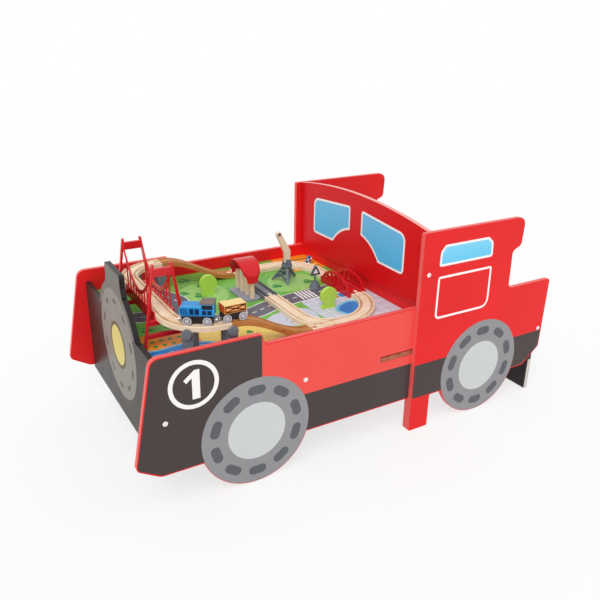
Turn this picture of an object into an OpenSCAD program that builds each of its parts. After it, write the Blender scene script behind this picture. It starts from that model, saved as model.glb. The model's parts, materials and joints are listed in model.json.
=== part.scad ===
// Train table in the outline of a locomotive: a hood with a sunk play board, an open cab behind it,
// and a wooden train set on the board.
// Millimetres, +Z up. The origin is on the floor under the middle of the table. The locomotive
// points along -X, and its near side is -Y. Places along X are counted from the front panel's face.

/* [Table] */
// Length of the hood, from the front panel's face to the cab panels
hood_len = 636; // [600:1:720]
// Length of the cab side panels
cab_len = 456; // [430:1:520]
// Clear width between the two hood panels
inner_w = 548; // [520:1:620]
// Thickness of the painted boards
board_t = 12; // [11:0.5:15]
// Height of the hood panels behind the nose section
hood_h = 338; // [330:1:370]
// How much higher the nose section of the hood panels stands
hood_step = 25; // [12:1:40]
// Length of the nose section behind the front panel's face
nose_len = 224; // [180:1:260]
// Reach of the nose ahead of the front panel at the top
nose_top = 17; // [5:1:30]
// Reach of the nose ahead of the front panel low down
nose_low = 61; // [45:1:80]
// Height of the low front corner of the nose
nose_corner_h = 122; // [112:1:150]
// Height of the panels' lower edges above the floor
skirt_h = 91; // [75:1:105]
// Diameter of the wheel outlines on the side panels
wheel_d = 265; // [230:1:290]
// Front wheel's distance behind the front panel's face
front_wheel_x = 211; // [190:1:240]
// Rear wheel's distance behind the cab panels' front edge
rear_wheel_x = 225; // [215:1:260]
// Width of the legs where hood and cab panels overlap
leg_w = 60; // [52:1:70]
// Clearance between a board and the faces that it fits between
board_fit = 0.2; // [0.1:0.05:0.4]

/* [Front panel] */
// Height of the front panel's lower edge
front_low = 85; // [70:1:100]
// Height of the front panel's shoulders
shoulder_h = 331; // [320:1:337]
// Radius of the round boiler face
boiler_r = 149; // [130:1:160]
// Height of the boiler face's centre
boiler_h = 270; // [260:1:285]
// Width of the smokestack
stack_w = 114; // [90:1:130]
// Height of the smokestack's top
stack_h = 455; // [445:1:490]

/* [Cab] */
// Height of the cab side panels
cab_h = 526; // [500:1:560]
// Length of the cab panels' roof line
roof_len = 328; // [315:1:350]
// Height of the roof line's rear drop
roof_drop = 74; // [60:1:90]
// Distance from the cab panels' front edge to the rear notch
notch_x = 296; // [285:1:305]
// Windshield's centre plane behind the cab panels' front edge
windshield_x = 22; // [18:1:26]
// How much the windshield's arch rises over its ends
arch_rise = 26; // [15:1:45]
// Gap between the windshield and the dash wall below it
dash_gap = 2; // [1:0.5:3]
// Setback of the dash wall behind the windshield's face
dash_setback = 6; // [3:1:8]
// Height of the seat
seat_h = 222; // [205:1:228]
// Depth of the seat
seat_len = 220; // [180:1:240]
// Distance from the rear board's centre plane to the cab panels' rear edge
rear_inset = 16.5; // [14:0.5:24]

/* [Play board] */
// Height of the play board's top
play_h = 304; // [295:1:310]
// Thickness of the play board
play_t = 9; // [6:1:12]
// Side of the square battens and cleats
batten = 20; // [18:1:24]
// Cross beam's centre plane behind the front panel's face
beam_x = 333; // [320:1:400]
// Depth of the cross beam
beam_h = 95; // [85:1:110]
// Shelf board's front edge ahead of the cab panels' front edge
shelf_front = 96; // [80:1:110]
// Length of the shelf board along the table
shelf_len = 120; // [110:1:126]
// Height of the shelf board's lower face
shelf_h = 215; // [206:1:220]
// Gap over the shelf board's end in the hood panels' slots
slot_gap = 3; // [1:0.5:4]

/* [Fasteners] */
// Diameter of the cross bolts
bolt_d = 6; // [5:0.5:8]
// Length of the cross bolts under the head
bolt_len = 50; // [45:1:60]
// Diameter of the bolt heads
bolt_head_d = 11; // [10.5:0.5:13]
// Depth of the counterbores for the bolt heads
head_sink = 5; // [4.5:0.5:6]
// Diameter of the barrel nuts
nut_d = 10; // [9.5:0.5:12]
// Height of the front panel's bolts
front_bolt_h = 214; // [180:1:240]
// Height of the cross beam's bolts over the beam's lower edge
beam_bolt_h = 26; // [18:1:60]
// Height of the windshield's bolts
windshield_bolt_h = 422; // [400:1:460]
// Height of the rear board's bolts
rear_bolt_h = 194; // [160:1:200]
// Diameter of the wood screws
screw_d = 4; // [3.5:0.5:5]
// Depth of the wood screws' tips in the panels
screw_bite = 8; // [6:0.5:9]
// Radial clearance of bolts, nuts and screws in their holes
hole_fit = 0.1; // [0.05:0.05:0.25]

/* [Track] */
// Width of the wooden track
track_w = 40; // [38:1:42]
// Thickness of the wooden track
track_t = 12; // [10:1:14]
// Width of the wheel grooves
groove_w = 7; // [6.5:0.5:8]
// Depth of the wheel grooves
groove_d = 2; // [1.5:0.5:3]
// Distance between the wheel grooves' centres
groove_gap = 26; // [24:1:27]
// Centre-line radius of the curves
curve_r = 90; // [84:1:96]
// Centre-line radius of the switches' branches
branch_r = 77; // [68:1:84]
// Height of the raised track over the flat track
raise_h = 64; // [54:1:72]
// Level length at the top of a ramp
ramp_flat = 16; // [14:1:24]
// Level length at the foot of a ramp
ramp_tail = 10; // [5:1:20]
// Straight length at the end of a raised curve
raised_end = 14; // [14:1:30]
// Length of a switch ahead of the link track's centre line
switch_lead = 14; // [10:1:20]
// Shortest straight track beyond the girder bridge
right_tail = 24; // [20:1:40]
// Length of the level crossing
crossing_len = 130; // [100:1:140]
// Length of the straight stub between the bridge and the far raised curve
stub_len = 22; // [15:1:30]
// Bridge track's distance behind the front panel's face
bridge_x = 74; // [68:1:80]
// Near track's distance from the near hood panel
near_gap = 54; // [48:1:58]
// Far track's distance from the far hood panel
far_gap = 69; // [60:1:75]
// Right track's distance ahead of the cab panels' front edge
right_gap = 31; // [28:1:40]
// Distance between the link track and the right track
link_gap = 207; // [200:1:220]
// Diameter of the peg on a track's end
peg_d = 10; // [9:0.5:11]
// Reach of the peg's centre from the track's end
peg_reach = 11; // [10:0.5:13]
// Clearance round a peg
peg_fit = 0.4; // [0.2:0.1:0.6]

/* [Bridge] */
// Height of the bridge towers
tower_h = 188; // [170:1:210]
// Distance between the tower legs' centres at the top
tower_top_w = 40; // [36:1:60]
// Distance between the tower legs' centres at the foot
tower_foot_w = 95; // [88:1:104]
// Thickness of the towers along the bridge
tower_t = 8; // [7:1:12]
// Width of a tower leg
tower_leg = 5.5; // [5:0.5:9]
// Thickness of the cable sides
side_t = 3; // [2.5:0.5:5]
// Depth of the cable sides below the deck's top
side_drop = 25; // [20:1:28]
// Height of the cable's lowest point over the deck
cable_low = 24; // [18:1:34]
// Thickness of the cable band
cable_t = 9; // [7:1:12]
// Number of hangers on a cable side
hangers = 9; // [7:2:15]

/* [Girder bridge] */
// Length of the girder bridge's deck
girder_len = 140; // [120:1:160]
// Height of the girders' arched tops over the board
girder_h = 47; // [40:1:60]
// Thickness of the girders
girder_t = 6; // [4:0.5:8]
// Width of the girders' bars
girder_bar = 6; // [5:0.5:8]
// Number of openings in a girder
girder_cells = 6; // [4:1:8]

/* [Scenery] */
// Width of the station's base along the table
station_w = 50; // [46:1:64]
// Length of the station's base across the table
station_len = 100; // [96:1:110]
// Height of the station's lower roof edges over its base
station_h = 43; // [36:1:52]
// Outer radius of the station's arched roof
station_roof_r = 52; // [48:1:55]
// Thickness of the station's roof
station_roof_t = 5; // [4:0.5:6]
// Side of the station's square posts
station_post = 9; // [7:0.5:10]
// Diameter of the trees' crowns
tree_d = 46; // [40:1:56]
// Height of the trees
tree_h = 55; // [50:1:70]
// Thickness of the flat scenery pieces
flat_t = 10; // [8:1:12]
// Height of the triangle sign
sign_h = 65; // [58:1:72]
// Height of the flag's middle on its sign
flag_h = 15; // [15:1:30]

/* [Crane] */
// Height of the boom's pivot over the board
crane_h = 54; // [50:1:64]
// Distance of the crane's feet from its middle
crane_reach = 40; // [36:1:44]
// Diameter of the crane stand's head
crane_head_d = 30; // [28:1:34]
// Width of the crane stand's lattice bars
crane_bar = 6.5; // [4:0.5:7]
// Thickness of the boom
boom_t = 11; // [9:1:13]
// Thickness of the two ears that hold the boom
ear_t = 5; // [4:0.5:6]
// Side play of the boom between the ears
boom_play = 0.5; // [0.3:0.1:1]
// Length of the boom's upright foot
boom_foot = 29; // [26:1:44]
// Length of the boom's leaning arm
boom_arm = 58; // [46:1:66]
// Lean of the boom's arm towards the link track
boom_lean = 27; // [15:1:30]
// Width of the boom's foot
boom_w = 18; // [16:1:20]
// Diameter of the boom's pivot pin
pivot_d = 5; // [4:0.5:6]

/* [Train] */
// Diameter of the train's wheels
train_wheel_d = 19; // [18:0.5:20]
// Width of a wheel's tread
tread_w = 3; // [2.5:0.5:3.5]
// Diameter of the axles
axle_d = 3.5; // [3:0.5:4]
// Distance between the engine's axles
engine_base = 42; // [38:1:44]
// Distance between the wagon's axles
wagon_base = 36; // [32:1:38]
// Length of the engine's body
engine_len = 72; // [66:1:74]
// Length of the wagon's crate
wagon_len = 50; // [46:1:56]
// Width of the engine's body and of the crate
train_w = 31; // [28:1:33]
// Height of the engine's body over its chassis
engine_h = 27; // [20:1:30]
// Height of the crate
crate_h = 18; // [16:1:24]
// Engine's place on the near raised curve, as an angle about the curve's centre
engine_angle = 238; // [232:1:240]
// Wagon's centre behind the curve's end
wagon_x = 25; // [24:1:26]
// Clearance between a wheel and the groove's floor
wheel_gap = 0.3; // [0.2:0.05:0.5]
// Radial clearance of the axles and of the boom's pin
axle_fit = 0.05; // [0.02:0.01:0.1]

/* [Hidden] */

RED = "firebrick";
BEECH = "burlywood";
TOY_GREY = "slategray";

// Faces and middle of the table
half_in = inner_w / 2;
hood_y = half_in + board_t;
cab_y = hood_y + board_t;
table_back = hood_len + cab_len;
wheel_r = wheel_d / 2;
lap_end = hood_len + leg_w;
windshield_mid = hood_len + windshield_x;
windshield_face = windshield_mid - board_t / 2;
dash_face = windshield_face + dash_setback;
rear_mid = table_back - rear_inset;
notch_edge = hood_len + notch_x;
shelf_x = hood_len - shelf_front;
shelf_end = shelf_x + shelf_len;
shelf_top = shelf_h + board_t;
under_play = play_h - play_t;
beam_low = under_play - beam_h;
overlap = 1;

// Outlines of the side panels, with the radius of each corner, and the middle of the table between them
step_run = 9;
nose_foot = 10;
roof_lean = 4;
notch_fall = 12;
notch_lean = 2;
tail_lean = 4;
tail_rise = 46;
tail_cut = 60;
HOOD_CORNERS = [
    [-nose_top, hood_h + hood_step, 22],
    [nose_len, hood_h + hood_step, 8],
    [nose_len + step_run, hood_h, 9],
    [lap_end, hood_h, 6],
    [lap_end, 0, 4],
    [hood_len, 0, 4],
    [hood_len, skirt_h, 5],
    [-nose_foot, skirt_h, 30],
    [-nose_low, nose_corner_h, 14],
];
CAB_CORNERS = [
    [hood_len, cab_h, 5],
    [hood_len + roof_len, cab_h, 22],
    [hood_len + roof_len - roof_lean, cab_h - roof_drop, 14],
    [notch_edge, cab_h - roof_drop - notch_fall, 14],
    [notch_edge + notch_lean, hood_h, 14],
    [table_back, hood_h, 8],
    [table_back - tail_lean, skirt_h + tail_rise, 14],
    [table_back - tail_cut, skirt_h, 14],
    [lap_end, skirt_h, 5],
    [lap_end, 0, 4],
    [hood_len, 0, 4],
];
nose_x = min([for (p = rounded(HOOD_CORNERS)) p.x]);
tail_x = max([for (p = rounded(CAB_CORNERS)) p.x]);
x_mid = (nose_x + tail_x) / 2;

// Bolts as place along the table, height, and the outer face that their heads sink in
BOLTS = [
    [board_t / 2, front_bolt_h, hood_y],
    [beam_x, beam_low + beam_bolt_h, hood_y],
    [windshield_mid, windshield_bolt_h, cab_y],
    [rear_mid, rear_bolt_h, cab_y],
];
bolt_head_t = 3;
bolt_past_nut = 12;
nut_depth = bolt_len - bolt_past_nut;
sink_d = bolt_head_d + 1;
cap_proud = 1.2;

// Wood screws: the lap screws join each hood panel to its cab panel from inside
lap_screw_inset = 16;
lap_screw_x = lap_end - lap_screw_inset;
LAP_SCREW_HEIGHTS = [skirt_h / 2, skirt_h + 70, hood_h - 40];
screw_head_d = 2 * screw_d;
screw_head_t = screw_d / 2;
batten_screw_inset = 40;

// The play board ends at the dash wall, or at the windshield where it lies over the hood's top
play_end = play_h > hood_h ? windshield_face : dash_face;
// Battens run along the hood panels on both sides of the cross beam, as far as the play board, or as the
// shelf board where they lie as low as it
batten_end = under_play - batten < shelf_top ? shelf_x : play_end;
BATTENS = [
    [board_t + overlap, beam_x - board_t / 2 - overlap],
    [beam_x + board_t / 2 + overlap, batten_end - overlap],
];
seat_front = rear_mid + board_t / 2 - seat_len;
cleat_setback = 10;
cleat_x = [seat_front + cleat_setback, rear_mid - board_t / 2 - overlap];

// Centre lines of the railway
near_y = -(half_in - near_gap);
far_y = half_in - far_gap;
right_x = hood_len - right_gap;
link_x = right_x - link_gap;
near_cy = near_y + curve_r;
far_cy = far_y - curve_r;
left_cx = bridge_x + curve_r;
right_cx = right_x - curve_r;
branch_cx = link_x + branch_r;
near_join_y = near_y + branch_r;
far_join_y = far_y - branch_r;
// The near curve at the right end takes the room beyond the switch's branch
right_r = link_gap - branch_r;
right_near_y = near_y + right_r;
ramp_x = left_cx + raised_end;
switch_x = link_x - switch_lead;
ramp_len = switch_x - ramp_x;
deck_far_y = far_cy - stub_len;
deck_len = deck_far_y - near_cy;
crossing_y = far_join_y - crossing_len;
raised_h = play_h + raise_h;
deck_top = raised_h + track_t;
track_top = play_h + track_t;
track_edge = 1;
ramp_steps = 24;
peg_neck = peg_d / 2;
pier_w = 24;
pier_knob_d = 22;
pier_knob_t = 6;
pier_knob_drop = 4;
pier_proud = 3;
pier_out = track_w / 2 + pier_proud;
pier_angle = 228;

// Bridge
tower_inset = tower_t / 2 + 4;
// Lower and upper edges of a tower's bars over the board
TOWER_BARS = [[22, 32], [raise_h - 12, raise_h], [tower_h - 27, tower_h - 9]];
tower_near_y = near_cy + tower_inset;
tower_far_y = deck_far_y - tower_inset;
tower_mid_y = (tower_near_y + tower_far_y) / 2;
tower_span = tower_far_y - tower_near_y;
side_y = track_w / 2 + board_fit;
side_len = tower_span - tower_t - 2 * board_fit;
side_half = side_len / 2;
cable_headroom = 10;
cable_top = tower_h - raise_h - track_t - cable_headroom;
cable_steps = 24;
hanger_t = 2.4;
sill_h = 4;

// Girder bridge
girder_start = right_near_y;
girder_run = min(girder_len, far_cy - girder_start - right_tail);
girder_end = girder_start + girder_run;
girder_end_w = 4;
girder_half = girder_run / 2 - girder_end_w;
girder_sill = track_t + 4;
girder_steps = 32;
// The arch is flatter on top than an ellipse
girder_power = 2.4;

// Scenery places
station_gap = 1;
station_x = link_x - track_w / 2 - station_gap - station_w / 2;
station_back = 57;
station_y = far_cy - station_back;
station_base_t = 6;
station_roof_w = 54;
station_tip_w = 10;
station_spring = station_base_t + station_h;
station_inner_r = station_roof_r - station_roof_t;
station_post_y = station_inner_r - station_post / 2 - 1;
STATION_POSTS = [-station_post_y, -station_post_y / 3, station_post_y / 3, station_post_y];
tree_foot_w = 38;
tree_foot_h = 8;
tree_trunk_w = 20;
far_tree_gap = 105;
far_tree_back = 11;
near_tree_gap = 107;
near_tree_ahead = 14;
TREE_PLACES = [
    [left_cx + far_tree_gap, far_cy - far_tree_back],
    [right_x - near_tree_gap, near_cy + near_tree_ahead],
];
triangle_gap = 64;
triangle_back = 97;
triangle_sign_at = [right_x - triangle_gap, far_cy - triangle_back];
triangle_base_d = 32;
triangle_base_h = 18;
triangle_side = 33;
triangle_rise = 29;
// The flag sign stands outside the far curve at the right end, at an angle about its centre
flag_out = 16;
flag_angle = 33;
flag_r = curve_r + track_w / 2 + flag_out;
flag_sign_at = [right_cx + flag_r * cos(flag_angle), far_cy + flag_r * sin(flag_angle)];
flag_base_d = 16;
flag_base_t = 5;
flag_len = 24;
flag_w = 14;
flag_lean = 30;
sign_post = 5;

// Crane
crane_gap = 103;
crane_back = 11;
crane_at = [right_x - crane_gap, far_cy - crane_back];
pivot_h = play_h + crane_h;
CRANE_LEGS = [26, 146, 245];
crane_head_t = 6;
ear_h = 14;
ear_w = 16;
crane_head_h = crane_h - ear_h;
brace_low = 0.12 * crane_head_h;
brace_high = 0.62 * crane_head_h;
brace_shift = 4;
brace_w = 0.74 * crane_bar;
cross_brace_w = 0.62 * crane_bar;
ring_h = brace_high + crane_bar;
ring_w = 0.5 * crane_bar;
boom_clear = 0.5;
crane_leg_top = crane_head_d / 2 - crane_bar;
boom_tip_w = 14;
tip_pin_d = 9;
pin_proud = 1.5;

// Train
groove_floor = track_top - groove_d;
wheel_rise = wheel_gap + train_wheel_d / 2;
axle_h = groove_floor + raise_h + wheel_rise;
chassis_w = groove_gap - tread_w - 2;
chassis_low = axle_h - 4;
wheel_headroom = 3;
chassis_top = axle_h + train_wheel_d / 2 + wheel_headroom;
wheel_dish = 1;
wheel_rim = 2.5;
hub_d = 9;
hub_t = 1.5;
// The engine's rigid axles sit a little inside the curve's centre line, so its wheels keep to the grooves
engine_inset = pow(engine_base / 2, 2) / (2 * curve_r);
coupler_d = 9;
coupler_reach = 8.4;
coupler_t = 4;
coupler_sink = 5;
chassis_over = 3;
engine_cab_len = 28;
engine_cab_step = 5;
roof_t = 3;
crate_frame = 3.5;
crate_recess = 1.2;

// Moves a piece from places counted from the front panel's face to the part's own origin
module in_frame() {
    translate([-x_mid, 0, 0])
        children();
}

function unit(v) = v / norm(v);

// Points of the arc that rounds the corner at p between its neighbours a and b
function corner(a, p, b, r, steps = 8) =
    let (
        u = unit(a - p),
        v = unit(b - p),
        half = acos(max(-1, min(1, u * v))) / 2,
        c = p + unit(u + v) * r / sin(half),
        s = p + u * r / tan(half) - c,
        e = p + v * r / tan(half) - c,
        start = atan2(s.y, s.x),
        sweep = (atan2(e.y, e.x) - start + 540) % 360 - 180
    )
    [for (i = [0:steps]) c + r * [cos(start + sweep * i / steps), sin(start + sweep * i / steps)]];

// An outline whose points carry their corner radius as a third number
function rounded(points) =
    let (n = len(points), flat = [for (p = points) [p.x, p.y]])
    [for (i = [0:n - 1])
        each points[i][2] > 0
            ? corner(flat[(i + n - 1) % n], flat[i], flat[(i + 1) % n], points[i][2])
            : [flat[i]]];

// A board standing along the table, from its outline in X and Z
module board_xz(y, t) {
    translate([0, y + t, 0])
        rotate([90, 0, 0])
            linear_extrude(t)
                children();
}

// A board standing across the table, from its outline in Y and Z
module board_yz(x, t) {
    translate([x, 0, 0])
        rotate([90, 0, 90])
            linear_extrude(t)
                children();
}

// A box from its lowest and highest corners
module block(low, high) {
    translate(low)
        cube(high - low);
}

// Both sides of the table
module both_sides() {
    for (side = [0, 1])
        mirror([0, side, 0])
            children();
}

// Cross bolts, written for the near side with +Z pointing out of the panel
module at_bolts(wanted = BOLTS) {
    for (b = wanted)
        translate([b.x, -b[2], b.y])
            rotate([90, 0, 0])
                children();
}

module bolt_hole() {
    translate([0, 0, -head_sink - bolt_len - overlap])
        cylinder(d = bolt_d + 2 * hole_fit, h = bolt_len + head_sink + 2 * overlap, $fn = 32);
    translate([0, 0, -head_sink])
        cylinder(d = sink_d, h = head_sink + overlap, $fn = 32);
}

module nut_hole() {
    translate([0, 0, -head_sink - nut_depth])
        rotate([0, 90, 0])
            cylinder(d = nut_d + 2 * hole_fit, h = board_t + 2 * overlap, center = true, $fn = 32);
}

// A countersunk wood screw of a given length, head up at z = 0
module screw(length, fit = 0) {
    translate([0, 0, -length - fit])
        cylinder(d = screw_d + 2 * fit, h = length + fit, $fn = 24);
    translate([0, 0, -screw_head_t])
        cylinder(d1 = screw_d + 2 * fit, d2 = screw_head_d + 2 * fit, h = screw_head_t, $fn = 24);
}

lap_screw_len = board_t + screw_bite;
batten_screw_len = batten + screw_bite;

// Lap screws of the near side, driven from inside the hood panel
module at_lap_screws() {
    for (z = LAP_SCREW_HEIGHTS)
        translate([lap_screw_x, -half_in, z])
            rotate([-90, 0, 0])
                children();
}

// Batten screws of the near side
module at_batten_screws() {
    for (b = BATTENS, x = [b[0] + batten_screw_inset, b[1] - batten_screw_inset])
        translate([x, -half_in + batten, under_play - batten / 2])
            rotate([-90, 0, 0])
                children();
}

// Cleat screws of the near side
module at_cleat_screws() {
    for (x = [cleat_x[0] + batten_screw_inset, cleat_x[1] - batten_screw_inset])
        translate([x, -hood_y + batten, seat_h - board_t - batten / 2])
            rotate([-90, 0, 0])
                children();
}

// Table boards

// A side panel from its outer face's Y, its corners and its wheel's place
module side_panel(y, corners, wheel_x) {
    board_xz(y, board_t)
        polygon(rounded(corners));
    board_xz(y, board_t)
        translate([wheel_x, wheel_r])
            circle(wheel_r, $fn = 96);
}

module hood_panel() {
    in_frame()
        difference() {
            side_panel(-hood_y, HOOD_CORNERS, front_wheel_x);
            block([shelf_x - board_fit, -hood_y - overlap, shelf_h - board_fit],
                [shelf_end + board_fit, -half_in + overlap, shelf_top + slot_gap]);
            at_bolts([BOLTS[0], BOLTS[1]])
                bolt_hole();
            at_lap_screws()
                screw(lap_screw_len, hole_fit);
            at_batten_screws()
                screw(batten_screw_len, hole_fit);
        }
}

module hood_panel_near() {
    color(RED)
        hood_panel();
}

module hood_panel_far() {
    color(RED)
        mirror([0, 1, 0])
            hood_panel();
}

module cab_panel() {
    in_frame()
        difference() {
            side_panel(-cab_y, CAB_CORNERS, hood_len + rear_wheel_x);
            at_bolts([BOLTS[2], BOLTS[3]])
                bolt_hole();
            at_lap_screws()
                screw(lap_screw_len, hole_fit);
            at_cleat_screws()
                screw(batten_screw_len, hole_fit);
        }
}

module cab_panel_near() {
    color(RED)
        cab_panel();
}

module cab_panel_far() {
    color(RED)
        mirror([0, 1, 0])
            cab_panel();
}

module front_panel() {
    half_w = half_in - board_fit;
    stack_foot = boiler_h + boiler_r - 12;
    flare = 8;
    stack_neck = stack_h - 30;
    color("dimgray")
        in_frame()
            difference() {
                board_yz(0, board_t) {
                    translate([-half_w, front_low])
                        square([2 * half_w, shoulder_h - front_low]);
                    translate([0, boiler_h])
                        circle(boiler_r, $fn = 96);
                    polygon(rounded([
                        [-stack_w / 2 - flare, stack_foot, 0],
                        [stack_w / 2 + flare, stack_foot, 0],
                        [stack_w / 2, stack_neck, 12],
                        [stack_w / 2, stack_h, 8],
                        [-stack_w / 2, stack_h, 8],
                        [-stack_w / 2, stack_neck, 12],
                    ]));
                }
                both_sides()
                    at_bolts([BOLTS[0]]) {
                        bolt_hole();
                        nut_hole();
                    }
            }
}

module windshield_panel() {
    half_w = hood_y - board_fit;
    arch_r = (half_w * half_w + arch_rise * arch_rise) / (2 * arch_rise);
    color(RED)
        in_frame()
            difference() {
                board_yz(windshield_face, board_t)
                    intersection() {
                        translate([-half_w, hood_h])
                            square([2 * half_w, cab_h + arch_rise - hood_h]);
                        translate([0, cab_h + arch_rise - arch_r])
                            circle(arch_r, $fn = 360);
                    }
                both_sides()
                    at_bolts([BOLTS[2]]) {
                        bolt_hole();
                        nut_hole();
                    }
            }
}

module dash_wall() {
    half_w = half_in - board_fit;
    color(RED)
        in_frame()
            block([dash_face, -half_w, shelf_top], [dash_face + board_t, half_w, hood_h - dash_gap]);
}

module shelf_board() {
    half_w = hood_y - board_fit;
    color("peru")
        in_frame()
            block([shelf_x, -half_w, shelf_h], [shelf_end, half_w, shelf_top]);
}

module rear_board() {
    half_w = hood_y - board_fit;
    color("dimgray")
        in_frame()
            difference() {
                block([rear_mid - board_t / 2, -half_w, 0],
                    [rear_mid + board_t / 2, half_w, seat_h - board_t]);
                both_sides()
                    at_bolts([BOLTS[3]]) {
                        bolt_hole();
                        nut_hole();
                    }
            }
}

module seat_board() {
    half_w = hood_y - board_fit;
    color(RED)
        in_frame()
            translate([0, 0, seat_h - board_t])
                linear_extrude(board_t)
                    polygon(rounded([
                        [seat_front, -half_w, 12],
                        [rear_mid + board_t / 2, -half_w, 0],
                        [rear_mid + board_t / 2, half_w, 0],
                        [seat_front, half_w, 12],
                    ]));
}

module seat_cleats() {
    top = seat_h - board_t;
    color(BEECH)
        both_sides()
            in_frame()
                difference() {
                    block([cleat_x[0], -hood_y, top - batten], [cleat_x[1], -hood_y + batten, top]);
                    at_cleat_screws()
                        screw(batten_screw_len, hole_fit);
                }
}

module cross_beam() {
    half_w = half_in - board_fit;
    color(BEECH)
        in_frame()
            difference() {
                block([beam_x - board_t / 2, -half_w, beam_low],
                    [beam_x + board_t / 2, half_w, under_play]);
                both_sides()
                    at_bolts([BOLTS[1]]) {
                        bolt_hole();
                        nut_hole();
                    }
            }
}

module board_battens() {
    color(BEECH)
        both_sides()
            in_frame()
                difference() {
                    for (b = BATTENS)
                        block([b[0], -half_in, under_play - batten], [b[1], -half_in + batten, under_play]);
                    at_batten_screws()
                        screw(batten_screw_len, hole_fit);
                }
}

module play_board() {
    half_w = half_in - board_fit;
    color("yellowgreen")
        in_frame()
            block([board_t + board_fit, -half_w, under_play], [play_end - board_fit, half_w, play_h]);
}

// Fasteners

module cross_bolts() {
    color("silver")
        both_sides()
            in_frame()
                at_bolts() {
                    translate([0, 0, -head_sink])
                        cylinder(d = bolt_head_d, h = bolt_head_t, $fn = 32);
                    translate([0, 0, -head_sink - bolt_len])
                        cylinder(d = bolt_d, h = bolt_len, $fn = 32);
                }
}

module barrel_nuts() {
    color("gray")
        both_sides()
            in_frame()
                at_bolts()
                    translate([0, 0, -head_sink - nut_depth])
                        difference() {
                            rotate([0, 90, 0])
                                cylinder(d = nut_d, h = board_t, center = true, $fn = 32);
                            cylinder(d = bolt_d + 2 * hole_fit, h = 2 * nut_d, center = true, $fn = 32);
                        }
}

module bolt_caps() {
    color("mistyrose")
        both_sides()
            in_frame()
                at_bolts()
                    translate([0, 0, bolt_head_t - head_sink + hole_fit]) {
                        cylinder(d = sink_d - 2 * hole_fit, h = head_sink - bolt_head_t, $fn = 32);
                        translate([0, 0, head_sink - bolt_head_t - hole_fit])
                            cylinder(d1 = sink_d - 2 * hole_fit, d2 = bolt_head_d - 1, h = cap_proud,
                                $fn = 32);
                    }
}

module lap_screws() {
    color("gray")
        both_sides()
            in_frame()
                at_lap_screws()
                    screw(lap_screw_len);
}

module batten_screws() {
    color("gray")
        both_sides()
            in_frame() {
                at_batten_screws()
                    screw(batten_screw_len);
                at_cleat_screws()
                    screw(batten_screw_len);
            }
}

// Track. A bed runs along +X from the origin or turns about the origin, with its foot at z = 0.

function bed_section() = [
    [-track_w / 2, 0], [track_w / 2, 0],
    [track_w / 2, track_t - track_edge], [track_w / 2 - track_edge, track_t],
    [track_edge - track_w / 2, track_t], [-track_w / 2, track_t - track_edge],
];

module groove_section() {
    for (side = [-1, 1])
        translate([side * groove_gap / 2 - groove_w / 2, track_t - groove_d])
            square([groove_w, groove_d + overlap]);
}

module straight_bed(length) {
    rotate([90, 0, 90])
        linear_extrude(length)
            polygon(bed_section());
}

module straight_grooves(length) {
    translate([-overlap, 0, 0])
        rotate([90, 0, 90])
            linear_extrude(length + 2 * overlap)
                groove_section();
}

module arc_bed(angle, r = curve_r) {
    rotate_extrude(angle = angle, $fn = 144)
        translate([r, 0])
            polygon(bed_section());
}

module arc_grooves(angle, r = curve_r) {
    rotate_extrude(angle = angle, $fn = 144)
        translate([r, 0])
            groove_section();
}

// Peg on the end of a track, pointing along +X from the end
module peg(fit = 0) {
    translate([-fit, -peg_neck / 2 - fit, -fit])
        cube([peg_reach + fit, peg_neck + 2 * fit, track_t + 2 * fit]);
    translate([peg_reach, 0, -fit])
        cylinder(d = peg_d + 2 * fit, h = track_t + 2 * fit, $fn = 32);
}

// Moves a track or peg to its start and turns it to its heading
module heading(x, y, angle, z = play_h) {
    in_frame()
        translate([x, y, z])
            rotate([0, 0, angle])
                children();
}

module straight_track(x, y, angle, length, z = play_h) {
    difference() {
        heading(x, y, angle, z) {
            straight_bed(length);
            translate([length, 0, 0])
                peg();
        }
        heading(x, y, angle, z) {
            straight_grooves(length);
            peg(peg_fit);
        }
    }
}

// A quarter turn about a centre, from one angle, run counter-clockwise
module curve_track(x, y, from, r, z = play_h) {
    difference() {
        union() {
            heading(x, y, from, z)
                arc_bed(90, r);
            heading(x, y, from + 90, z)
                translate([r, 0, 0])
                    rotate([0, 0, 90])
                        peg();
        }
        heading(x, y, from, z) {
            arc_grooves(90, r);
            translate([r, 0, 0])
                rotate([0, 0, 90])
                    peg(peg_fit);
        }
    }
}

module near_raised_curve() {
    color(BEECH)
        difference() {
            union() {
                heading(left_cx, near_cy, 180, raised_h)
                    arc_bed(90);
                heading(left_cx, near_y, 0, raised_h) {
                    straight_bed(raised_end);
                    translate([raised_end, 0, 0])
                        peg();
                }
            }
            heading(left_cx, near_cy, 180, raised_h)
                arc_grooves(90);
            heading(left_cx, near_y, 0, raised_h)
                straight_grooves(raised_end);
            heading(bridge_x, near_cy, -90, raised_h)
                peg(peg_fit);
        }
}

module right_near_curve() {
    color(BEECH)
        curve_track(branch_cx, right_near_y, 270, right_r);
}

module right_far_curve() {
    color(BEECH)
        curve_track(right_cx, far_cy, 0, curve_r);
}

module girder_deck() {
    color("red")
        straight_track(right_x, girder_start, 90, girder_run);
}

module right_far_straight() {
    color(BEECH)
        straight_track(right_x, girder_end, 90, far_cy - girder_end);
}

module link_track() {
    color(BEECH)
        straight_track(link_x, near_join_y, 90, crossing_y - near_join_y);
}

module level_crossing() {
    color(TOY_GREY)
        straight_track(link_x, crossing_y, 90, crossing_len);
}

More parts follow.
